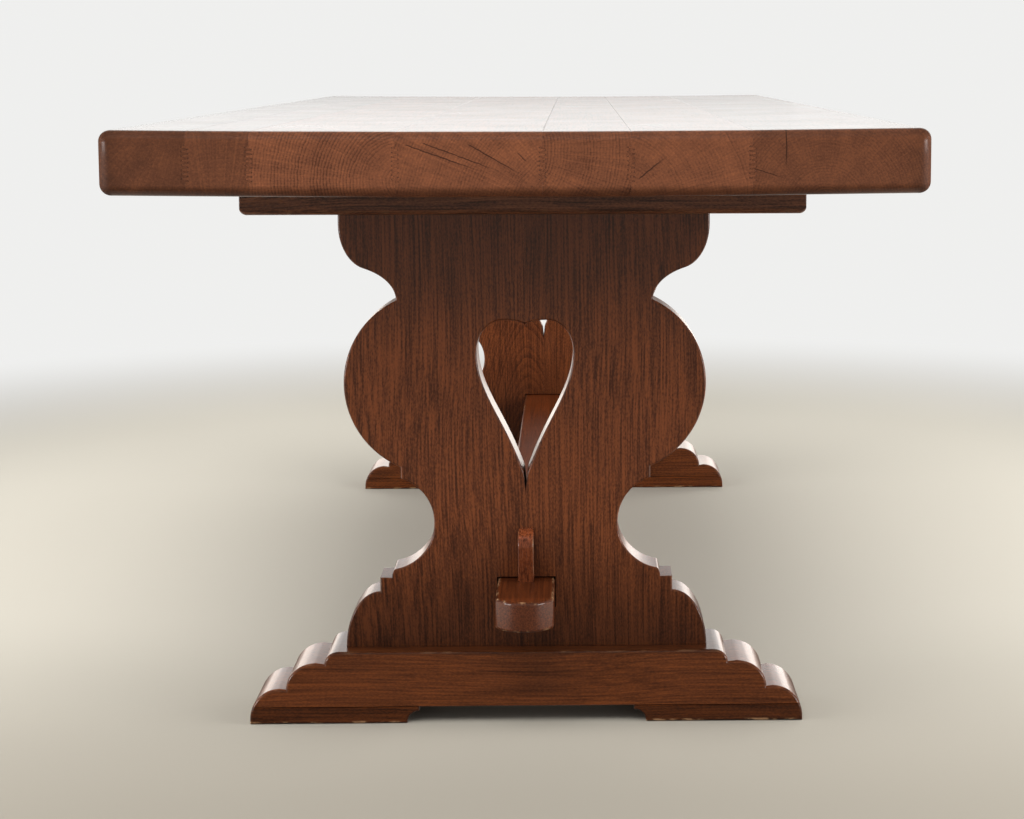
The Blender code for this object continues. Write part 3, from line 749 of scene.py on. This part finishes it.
def screw_nodes(end):
    """Names of the screws in a cleat."""
    return [f"{end}_cleat_screw_{number}" for number in range(1, SCREWS_PER_CLEAT + 1)]


def screw_seat(node):
    """Middle of the flat face of a screw's head, where its shank starts."""
    low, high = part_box(node)
    return (low.x + high.x) / 2, (low.y + high.y) / 2, low.z + SCREW_HEAD_HEIGHT


def cleat_mesh():
    """Cleat with round lower edges, its top cut to the cupped underside of the boards."""
    half = CLEAT_HIGH.x
    corner = Pen(half - CLEAT_ARRIS, CLEAT_LOW.z)
    corner.lobe(CLEAT_ARRIS, CLEAT_ARRIS, upright_first=False)
    ridge = [(half * (1 - 2 * step / ARC_STEPS), CLEAT_HIGH.z) for step in range(ARC_STEPS + 1)]
    outline = corner.points + ridge + mirrored(corner.points)
    depth = (CLEAT_HIGH.y - CLEAT_LOW.y) / 2

    def rounding(start, end):
        if start[1] == end[1] == CLEAT_HIGH.z:
            return 0.0
        low = 1 - (min(start[1], end[1]) - CLEAT_LOW.z) / CLEAT_ARRIS
        return max(CLEAT_SOFT, CLEAT_ARRIS * low)

    bar = rounded_prism("cleat", outline, -depth, depth, "Y", rounding)
    for vert in bar.vertices:
        if vert.co.z > CLEAT_HIGH.z - SEAT_GAP:
            vert.co.z -= cup_at(vert.co.x)
    turns = [2 * math.pi * step / ARC_STEPS for step in range(ARC_STEPS)]
    bores = []
    for node in screw_nodes("near"):
        middle, _, seat = screw_seat(node)
        circle = [(middle + COUNTERBORE_RADIUS * math.cos(turn), COUNTERBORE_RADIUS * math.sin(turn))
                  for turn in turns]
        bores.append(prism("bore", circle, CLEAT_LOW.z - CLEAT_ARRIS, seat, "Z"))
    return carve(bar, bores)


def wedge_front(height):
    """Depth of the wedge, back to front, at a height above the floor."""
    share = (height - WEDGE_LOW.z) / (WEDGE_HIGH.z - WEDGE_LOW.z)
    return WEDGE_TIP_DEPTH + (WEDGE_CROWN_DEPTH - WEDGE_TIP_DEPTH) * share


def wedge_mesh():
    """Tusk wedge with an upright back, a sloping front and a round top, in its trestle's frame."""
    back = -PANEL_FACE - SEAT_GAP
    shoulder = WEDGE_HIGH.z - WEDGE_ROUND[1]
    outline = Pen(back, WEDGE_LOW.z)
    outline.points.append((back - WEDGE_TIP_DEPTH, WEDGE_LOW.z))
    outline.points.append((back - wedge_front(shoulder), shoulder))
    outline.lobe(*WEDGE_ROUND, upright_first=True)
    outline.points.append((back, WEDGE_HIGH.z))
    return rounded_prism("wedge", outline.points[::-1], WEDGE_LOW.x, WEDGE_HIGH.x, "X",
                         lambda start, end: WEDGE_SOFT)


def wedge_slot():
    """Slot for the wedge, in its trestle's frame, longer than the tenon is tall."""
    low, high = WEDGE_LOW.z, TENON_TOP + WEDGE_TAIL
    back = -PANEL_FACE + WEDGE_DRAW
    front = -PANEL_FACE - 2 * SEAT_GAP
    outline = [(back, low), (back, high),
               (front - wedge_front(high), high), (front - wedge_front(low), low)]
    return prism("slot", outline, WEDGE_LOW.x - SEAT_GAP, WEDGE_HIGH.x + SEAT_GAP, "X")


def stretcher_mesh():
    """Stretcher: a bar with round noses, a deeper beam between the trestles and a slot for each wedge."""
    half = STRETCHER_HIGH.x
    corner = STRETCHER_HIGH.y - TENON_NOSE
    plan = Pen(half, -corner)
    plan.line(0, 2 * corner)
    plan.arc(-2 * half, 0, TENON_NOSE)
    plan.line(0, -2 * corner)
    plan.arc(2 * half, 0, TENON_NOSE)
    bar = rounded_prism("stretcher", plan.points[:-1], TENON_BOTTOM, TENON_TOP, "Z",
                        lambda start, end: TENON_SOFT)
    shoulder = TRESTLE_Y - PANEL_FACE - SEAT_GAP
    side = half + SEAT_GAP / 10
    beam = block("beam", (-side, -shoulder, STRETCHER_LOW.z), (side, shoulder, TENON_TOP - 2 * TENON_SOFT))
    near_slot = moved(wedge_slot(), Matrix.Translation((0, -TRESTLE_Y, 0)))
    far_slot = moved(near_slot, Matrix.Rotation(math.pi, 4, "Z"))
    return carve(carve(bar, [beam], "UNION"), [near_slot, far_slot])


def make_trestle(end, place, surfaces):
    """One trestle with its cleat, foot, pads and wedge, put in its place."""
    flip = Matrix.Scale(-1, 4, (1, 0, 0))
    panel, pad = panel_mesh(), pad_mesh()
    for side in SIDES:
        turn = place if side == "right" else place @ flip
        add_piece(f"{end}_panel_{side}_half", moved(panel, turn), [f"{end}_trestle_board_{side}"],
                  surfaces[f"{end}_panel_{side}"])
        add_piece(f"{end}_{side}_pad", moved(pad, turn), [f"{end}_foot_pad_{side}"],
                  surfaces[f"{end}_pad"])
    add_piece(f"{end}_foot_beam", moved(foot_mesh(), place), [f"{end}_foot"],
              surfaces[f"{end}_foot"])
    add_piece(f"{end}_top_cleat", moved(cleat_mesh(), place), [f"{end}_cleat"],
              surfaces["cleat"])
    add_piece(f"{end}_tusk_wedge", moved(wedge_mesh(), place), [f"{end}_wedge"],
              surfaces["wedge"], f"{end}_wedge")


def screw_tree(finish):
    """Geometry nodes that put a slotted round-head screw, head down, on each point of a mesh."""
    tree = bpy.data.node_groups.new("slotted_screws", "GeometryNodeTree")
    tree.interface.new_socket("Seats", in_out="INPUT", socket_type="NodeSocketGeometry")
    for name in SCREW_SIZES:
        tree.interface.new_socket(name, in_out="INPUT", socket_type="NodeSocketFloat")
    tree.interface.new_socket("Seed", in_out="INPUT", socket_type="NodeSocketInt")
    tree.interface.new_socket("Screws", in_out="OUTPUT", socket_type="NodeSocketGeometry")
    wire = Wire(tree)
    given = tree.nodes.new("NodeGroupInput")
    size = {name: Wire(tree, given.outputs[name]) for name in (*SCREW_SIZES, "Seed", "Seats")}
    ball = wire.make("GeometryNodeMeshUVSphere", {"Segments": 32, "Rings": 16, "Radius": 1.0})
    head_size = wire.vector(size["Head radius"], size["Head radius"], size["Head height"])
    head = wire.make("GeometryNodeTransform", {"Geometry": ball, "Scale": head_size})
    wide = size["Head radius"] * 4
    upper_half = (wire.vector(wide, wide, wide), wide / 2)
    slot = (wire.vector(wide, size["Slot width"], size["Slot depth"] * 2), size["Head height"] * -1.0)
    for extent, height in (upper_half, slot):
        cube = wire.make("GeometryNodeMeshCube", {"Size": extent})
        tool = wire.make("GeometryNodeTransform",
                         {"Geometry": cube, "Translation": wire.vector(0.0, 0.0, height)})
        head = wire.make("GeometryNodeMeshBoolean", {"Mesh 1": head, "Mesh 2": tool},
                         {"operation": "DIFFERENCE", "solver": "EXACT"})
    head = wire.make("GeometryNodeMergeByDistance", {"Geometry": head, "Distance": SEAM_GAP})
    shank = wire.make("GeometryNodeMeshCone",
                      {"Vertices": 24, "Radius Top": size["Shank radius"] * SCREW_TIP_SHARE,
                       "Radius Bottom": size["Shank radius"], "Depth": size["Length"]})
    whole = tree.nodes.new("GeometryNodeJoinGeometry")
    for part in (head, shank):
        tree.links.new(part.socket, whole.inputs[0])
    turn = wire.make("FunctionNodeRandomValue",
                     {0: (0.0, 0.0, 0.0), 1: (0.0, 0.0, math.pi), "Seed": size["Seed"]},
                     {"data_type": "FLOAT_VECTOR"})
    points = wire.make("GeometryNodeMeshToPoints", {"Mesh": size["Seats"]})
    screws = wire.make("GeometryNodeInstanceOnPoints",
                       {"Points": points, "Instance": Wire(tree, whole.outputs[0]), "Rotation": turn})
    screws = wire.make("GeometryNodeRealizeInstances", {0: screws})
    screws = wire.make("GeometryNodeSetMaterial", {"Geometry": screws, "Material": finish})
    wire.make("NodeGroupOutput", {0: screws})
    return tree


def make_screws(finish):
    """All the screws that hold the cleats to the top, as one mesh."""
    nodes = screw_nodes("near") + screw_nodes("far")
    seats = bpy.data.meshes.new("screw_seats")
    seats.from_pydata([screw_seat(node) for node in nodes], [], [])
    piece = placed("cleat_screws", seats)
    tree = screw_tree(finish)
    modifier = piece.modifiers.new("screws", "NODES")
    modifier.node_group = tree
    values = {**SCREW_SIZES, "Seed": SCREW_SEED}
    for item in tree.interface.items_tree:
        if item.name in values:
            modifier[item.identifier] = values[item.name]
    apply_modifiers(piece)
    piece.data.shade_smooth()
    piece.data.set_sharp_from_angle(angle=SMOOTH_LIMIT)
    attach(piece, "table")
    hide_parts(*nodes)


def in_kerf(x, z):
    """1 in the saw cut under the heart's point and 0 elsewhere."""
    past = abs(x) - (z - KERF_FOOT) * (KERF_WIDTH / 2 / KERF_LENGTH)
    return (1 - past.rise(0.0003, 0.0008)) * (1 - z.rise(HEART_POINT - 0.003, HEART_POINT + 0.004))


def panel_shade(x, y, z):
    """Panels are darker towards the foot, with painted shade under the cleat where the top overhangs them
    and painted shade in the saw cut.
    """
    over_foot = z.rise(0.08, 0.30) * 0.58 + z.rise(0.30, 0.45) * 0.08 + 0.34
    # Painted shadow of the top's overhang on the upper panel.
    painted_overhang_shade = 1 - z.rise(0.46, 0.60) * 0.36
    # Painted shade: the saw cut is made nearly black, for the shade inside the narrow slit.
    return over_foot * painted_overhang_shade * (1 - in_kerf(x, z) * 0.92)


def panel_coat(x, y, z):
    """The near panel is lacquered all over but in the saw cut."""
    return (1 - in_kerf(x, z)) * 0.4


def panel_polish(x, y, z):
    """The saw cut is rough."""
    return in_kerf(x, z) * -0.60


def foot_shade(x, y, z):
    """The foot's ledge has painted shade, as it faces up to the lamps above."""
    painted_ledge_shade = z.rise(FOOT_HIGH.z - 0.006, FOOT_HIGH.z)
    return 1 - painted_ledge_shade * 0.47


def pad_wear(x, y, z):
    """Pads are worn at their lower edges."""
    lower_edge = 1 - z.rise(0.0010, 0.0045)
    return lower_edge * 2.2


def wedge_shade(x, y, z):
    """The wedges are paler at the crown: partly worn, partly a painted highlight."""
    crown = z.rise(WEDGE_HIGH.z - 0.018, WEDGE_HIGH.z - 0.004)
    return 1 + crown * 0.35


def seam_shade(x, y, z):
    """A panel that is also darker beside the seam over its heart."""
    over_heart = z.rise(0.48, 0.56) * (1 - abs(x).rise(0.03, 0.12))
    return panel_shade(x, y, z) * (1 - over_heart * 0.10)


def flat_height(x, z):
    """Height in the top as it was before it cupped."""
    return z + cup_at(x)


def upper_face(x, z):
    """1 on the top's cupped upper face and 0 below it."""
    return flat_height(x, z).rise(TOP_HIGH.z - 0.0020, TOP_HIGH.z - 0.0003)


def slab_shade(x, y, z):
    """The top has painted shade on its lower arris, which faces down, and on its upper arris and upper
    face, which face the lamps above, and is darker towards its sides.
    """
    # Painted shade on the lower arris.
    low = 1 - z.rise(TOP_LOW.z - TOP_CUP, TOP_LOW.z + TOP_ARRIS)
    side = abs(x).rise(TOP_HIGH.x - 0.035, TOP_HIGH.x)
    # Painted shade on the upper arris and the upper face; the last factor eases it a little on the face.
    crown = flat_height(x, z).rise(TOP_HIGH.z - TOP_ARRIS, TOP_HIGH.z - 0.004)
    return (1 - low * 0.36) * (1 - side * 0.30) * (1 - crown * 0.40) * (1 + upper_face(x, z) * 0.08)


def low_corner(x, z):
    """1 at the lower end of the top's corners and 0 elsewhere."""
    corner = abs(x).rise(TOP_HIGH.x - 0.016, TOP_HIGH.x - 0.011)
    return corner * (1 - z.rise(TOP_HIGH.z - 0.034, TOP_HIGH.z - 0.012))


def slab_coat(x, y, z):
    """The top has the most lacquer on its upper face and the least at the lower end of its corners."""
    return upper_face(x, z) * 0.50 + (1 - low_corner(x, z)) * 0.15


def slab_polish(x, y, z):
    """The top is dull at the lower end of its corners."""
    return low_corner(x, z) * -0.32


def tenon_nose(y):
    """1 on the noses of the tenons and 0 between them."""
    start = STRETCHER_HIGH.y - TENON_NOSE
    return abs(y).rise(start - 0.004, start + 0.004)


def stretcher_shade(x, y, z):
    """The stretcher has painted light between the trestles, where it lies in the table's shade, and on its
    noses, whose fronts are lit more than the tenons' tops.
    """
    painted_light_between = 1 - abs(y).rise(TRESTLE_Y - 0.04, TRESTLE_Y)
    return 1.0 + painted_light_between * 1.15 + tenon_nose(y) * 0.34


def stretcher_coat(x, y, z):
    """The stretcher has the most lacquer at the front of its noses."""
    front = 1 - z.rise(TENON_TOP - 0.0015, TENON_TOP - 0.0002)
    return tenon_nose(y) * front * 0.95 + 0.05


def make_surfaces():
    """Oak of each piece: its grain, its pith and its tone."""
    near, far = -TRESTLE_Y, TRESTLE_Y
    joints = joint_lines()
    plank_looks = (
        {"pith": (-0.36, 0.82), "seed": 1.3, "ring": 0.0060, "figure": 0.22, "tint": 0.52, "rays": 0.4},
        {"pith": (-0.33, 0.60), "seed": 7.9, "ring": 0.0050, "figure": 0.16, "tint": 0.62},
        {"pith": (-0.124, 0.712), "seed": 12.4, "ring": 0.0036, "figure": 1.0, "tint": 0.96},
        {"pith": (0.082, 0.664), "seed": 19.2, "ring": 0.0034, "figure": 0.7, "tint": 0.93,
         "cracks": (((-0.123, 0.755), (-0.030, 0.722), 0.0010), ((-0.104, 0.757), (-0.010, 0.722), 0.0009),
                    ((-0.053, 0.755), (0.012, 0.718), 0.0010), ((0.001, 0.746), (0.014, 0.733), 0.0008))},
        {"pith": (-0.019, 0.748), "seed": 23.5, "ring": 0.0036, "figure": 0.8, "tint": 0.86},
        {"pith": (0.108, 0.688), "seed": 31.1, "ring": 0.0038, "figure": 0.6, "tint": 0.88, "rays": 0.25,
         "cracks": (((0.135, 0.716), (0.168, 0.743), 0.0011),)},
        {"pith": (0.345, 0.688), "seed": 41.8, "ring": 0.0034, "figure": 0.6, "tint": 0.66, "rays": 0.4,
         "cracks": (((0.299, 0.772), (0.299, 0.724), 0.0010), ((0.262, 0.728), (0.300, 0.716), 0.0007))})
    planks = [oak(f"plank_{number}", "Y", tone=TOP_TONE, joints=joints[max(0, number - 2):number],
                  wear=0.05, shade=slab_shade, coat=slab_coat, polish=slab_polish, ends=TOP_HIGH.y,
                  contrast=1.2, **look)
              for number, look in enumerate(plank_looks, start=1)]
    surfaces = {
        "near_panel_left": oak("near_left_oak", "Z", (-0.24, near + 0.055), 3.7, PANEL_TONE, taper=0.03,
                               shade=panel_shade, coat=panel_coat, polish=panel_polish),
        "near_panel_right": oak("near_right_oak", "Z", (-0.10, near + 0.12), 9.1, PANEL_TONE, ring=0.0034,
                                shade=seam_shade, coat=panel_coat, polish=panel_polish),
        "far_panel_right": oak("far_right_oak", "Z", (-0.02, far + 0.03), 14.6, PANEL_TONE, ring=0.0055,
                               taper=0.30, wander=0.07, figure=1.8, tint=0.80, shade=panel_shade),
        "far_panel_left": oak("far_left_oak", "Z", (0.36, far - 0.06), 21.3, PANEL_TONE, figure=0.4,
                              tint=0.77, shade=panel_shade),
        "near_foot": oak("near_foot_oak", "X", (near + 0.03, -0.06), 5.2, FOOT_TONE, ring=0.0038,
                         taper=0.015, figure=0.5, contrast=1.05, shade=foot_shade, coat=0.6),
        "far_foot": oak("far_foot_oak", "X", (far - 0.03, -0.05), 16.8, FOOT_TONE, ring=0.0038,
                        taper=0.015, shade=foot_shade),
        "near_pad": oak("near_pad_oak", "X", (near + 0.10, 0.11), 8.8, PAD_TONE, figure=0.6, wear=pad_wear,
                        coat=0.6),
        "far_pad": oak("far_pad_oak", "X", (far + 0.10, 0.11), 18.1, PAD_TONE, figure=0.6, tint=1.8,
                       wear=pad_wear),
        "cleat": oak("cleat_oak", "X", (0.0, 0.55), 27.4, CLEAT_TONE, rim=0.04),
        "wedge": oak("wedge_oak", "Z", (0.05, 0.02), 33.9, WEDGE_TONE, figure=0.4, polish=0.06, wear=0.5,
                     shade=wedge_shade, coat=0.5),
        "stretcher": oak("stretcher_oak", "Y", (0.20, -0.10), 37.7, TENON_TONE, figure=0.4, polish=-0.14,
                         wear=0.8, shade=stretcher_shade, coat=stretcher_coat, contrast=1.0),
    }
    return planks, surfaces


# Stage
FLOOR_RADIUS = 16.0
# Floor tones; the floor's material paints light and shade with them.
NEAR_FLOOR_TONE = colour(0.266, 0.241, 0.199)
FLOOR_TONE = colour(0.445, 0.415, 0.355)
FAR_FLOOR_TONE = colour(0.20, 0.195, 0.18)
BACKGROUND_TONE = colour(0.865, 0.865, 0.855)
AMBIENT_TONE = colour(0.96, 0.98, 1.0)
AMBIENT_STRENGTH = 0.58
MIRRORED_TONE = colour(0.24, 0.228, 0.21)        # surroundings as glossy surfaces show them
MIRRORED_FLOOR_TONE = colour(0.92, 0.83, 0.73)
WARM_TONE = (1.0, 0.92, 0.84)
COOL_TONE = (0.97, 1.0, 1.0)
WHITE_TONE = (1.0, 1.0, 1.0)
CAMERA_FILM = 36.0           # width in millimetres, as the lens is given
CAMERA_PLACE = (0.0664, -3.1173, 0.8482)
CAMERA_TURN = math.radians(1.001)      # to the right of the table's length
CAMERA_DIP = math.radians(5.682)
CAMERA_ROLL = math.radians(-0.122)
CAMERA_LENS = 67.37
CAMERA_SHIFT = (-0.0957, -0.1558)


def ray_share(wire, kind):
    """1 on rays of one kind and 0 on others."""
    return wire.make("ShaderNodeLightPath", output=kind)


def make_world():
    """Plain even light all round, white to the camera and dimmer in glossy surfaces."""
    world = bpy.data.worlds.new("studio")
    bpy.context.scene.world = world
    wire = emptied(world)
    shown = wire.make("ShaderNodeBackground", {"Color": AMBIENT_TONE, "Strength": AMBIENT_STRENGTH})
    for kind, tone in (("Is Glossy Ray", MIRRORED_TONE), ("Is Camera Ray", BACKGROUND_TONE)):
        other = wire.make("ShaderNodeBackground", {"Color": tone, "Strength": 1.0})
        shown = wire.make("ShaderNodeMixShader", {0: ray_share(wire, kind), 1: shown, 2: other})
    wire.make("ShaderNodeOutputWorld", {"Surface": shown})


def make_floor():
    """Pale floor that turns into the white background far from the table.

    Glossy surfaces show a floor of their own, bright beside the table and dimmer past its ends.
    """
    shape = bmesh.new()
    bmesh.ops.create_circle(shape, cap_ends=True, radius=FLOOR_RADIUS, segments=96)
    mesh = bpy.data.meshes.new("floor")
    shape.to_mesh(mesh)
    shape.free()
    surface = bpy.data.materials.new("pale_floor")
    wire = emptied(surface)
    across, depth, _ = wire.place()
    distance = (across * across + depth * depth).root()
    # Painted light and shade in the floor's tone: darker in front of the table, paler near and under it
    # against its shadow, and darker far out and to the sides against the lamps' pools of light.
    tone = wire.blend(depth.rise(-1.2, -0.2), NEAR_FLOOR_TONE, FLOOR_TONE)
    tone = wire.blend(distance.rise(1.1, 2.6) * 0.45, tone, FAR_FLOOR_TONE)
    tone = wire.blend(abs(across).rise(0.9, 2.0) * 0.40, tone, FAR_FLOOR_TONE)
    near = wire.make("ShaderNodeBsdfPrincipled",
                     {"Base Color": tone, "Roughness": 1.0, "Specular IOR Level": 0.0})
    away = wire.make("ShaderNodeEmission", {"Color": BACKGROUND_TONE, "Strength": 1.0})
    faded = distance.rise(1.5, 2.8) * ray_share(wire, "Is Camera Ray")
    outward = abs(depth)
    beside = abs(across).rise(0.28, 0.66) * (1 - outward.rise(1.2, 1.5)) * 0.89
    beyond = 0.08 + outward.rise(1.2, 2.2) * 0.175 + outward.rise(3.0, 6.0) * 0.27
    glow_tone = wire.blend(beside.most(beyond), colour(0, 0, 0), MIRRORED_FLOOR_TONE)
    mirrored_floor = wire.make("ShaderNodeEmission", {"Color": glow_tone, "Strength": 1.0})
    both = wire.make("ShaderNodeMixShader", {0: faded, 1: near, 2: away})
    both = wire.make("ShaderNodeMixShader",
                     {0: ray_share(wire, "Is Glossy Ray"), 1: both, 2: mirrored_floor})
    wire.make("ShaderNodeOutputMaterial", {"Surface": both})
    mesh.materials.append(surface)
    floor = placed("floor", mesh)
    floor.location.z = -SEAT_GAP


def make_lamp(name, place, aim, size, power, card=False, tone=WHITE_TONE):
    """Large soft lamp that faces a point, or a card that only shows in glossy surfaces."""
    light = bpy.data.lights.new(name, "AREA")
    light.shape = "RECTANGLE"
    light.size, light.size_y = size
    light.energy = power
    light.color = tone
    lamp = placed(name, light)
    lamp.location = place
    lamp.rotation_euler = (Vector(aim) - Vector(place)).to_track_quat("-Z", "Y").to_euler()
    lamp.visible_glossy = card
    lamp.visible_diffuse = not card
    lamp.visible_camera = False


def make_camera():
    """Camera at the photograph's place."""
    data = bpy.data.cameras.new("camera")
    data.lens = CAMERA_LENS
    data.sensor_width = CAMERA_FILM
    data.shift_x, data.shift_y = CAMERA_SHIFT
    camera = placed("camera", data)
    camera.matrix_world = (Matrix.Translation(CAMERA_PLACE) @ Matrix.Rotation(-CAMERA_TURN, 4, "Z")
                           @ Matrix.Rotation(math.pi / 2 - CAMERA_DIP, 4, "X")
                           @ Matrix.Rotation(CAMERA_ROLL, 4, "Z"))
    bpy.context.scene.camera = camera


def make_table():
    """Every piece of the table."""
    planks, surfaces = make_surfaces()
    make_top(planks)
    make_trestle("near", Matrix.Translation((0, -TRESTLE_Y, 0)), surfaces)
    make_trestle("far", Matrix.Translation((0, TRESTLE_Y, 0)) @ Matrix.Rotation(math.pi, 4, "Z"), surfaces)
    add_piece("tie_stretcher", stretcher_mesh(), ["stretcher"], surfaces["stretcher"])
    make_screws(zinc())


def make_studio():
    """Floor, light and camera."""
    make_world()
    make_floor()
    make_lamp("front_lamp", place=(-0.7, -3.1, 4.1), aim=(0, -0.6, 0.4), size=(3.0, 2.2), power=140)
    make_lamp("far_lamp", place=(0.95, 3.1, 4.1), aim=(0, 0.6, 0.4), size=(3.0, 2.2), power=70)
    make_lamp("top_lamp", place=(0, 0.9, 4.2), aim=(0, 0.9, 0), size=(6.0, 4.0), power=60)
    make_lamp("back_card", place=(0, 4.0, 2.1), aim=(0, 0, 0.5), size=(6.0, 2.6), power=56,
              card=True, tone=COOL_TONE)
    make_lamp("low_card", place=(0, 1.35, 0.21), aim=(0, 0, 0.21), size=(3.6, 0.42), power=10,
              card=True, tone=WARM_TONE)
    make_lamp("right_back_card", place=(2.0, 3.6, 0.45), aim=(0.3, -0.7, 0.1), size=(2.4, 0.8),
              power=4, card=True)
    for side, name, power in zip((-1, 1), SIDES, (124, 148)):
        make_lamp(f"{name}_lamp", place=(side * 3.4, -0.8, 1.5), aim=(0, 0, 0.4), size=(2.4, 2.0),
                  power=power)
        make_lamp(f"{name}_card", place=(side * 3.0, -2.6, 0.38), aim=(0, -0.7, 0.38), size=(1.6, 0.66),
                  power=36, card=True)
    make_camera()
    bpy.context.scene.view_settings.view_transform = "Standard"


make_table()
make_studio()
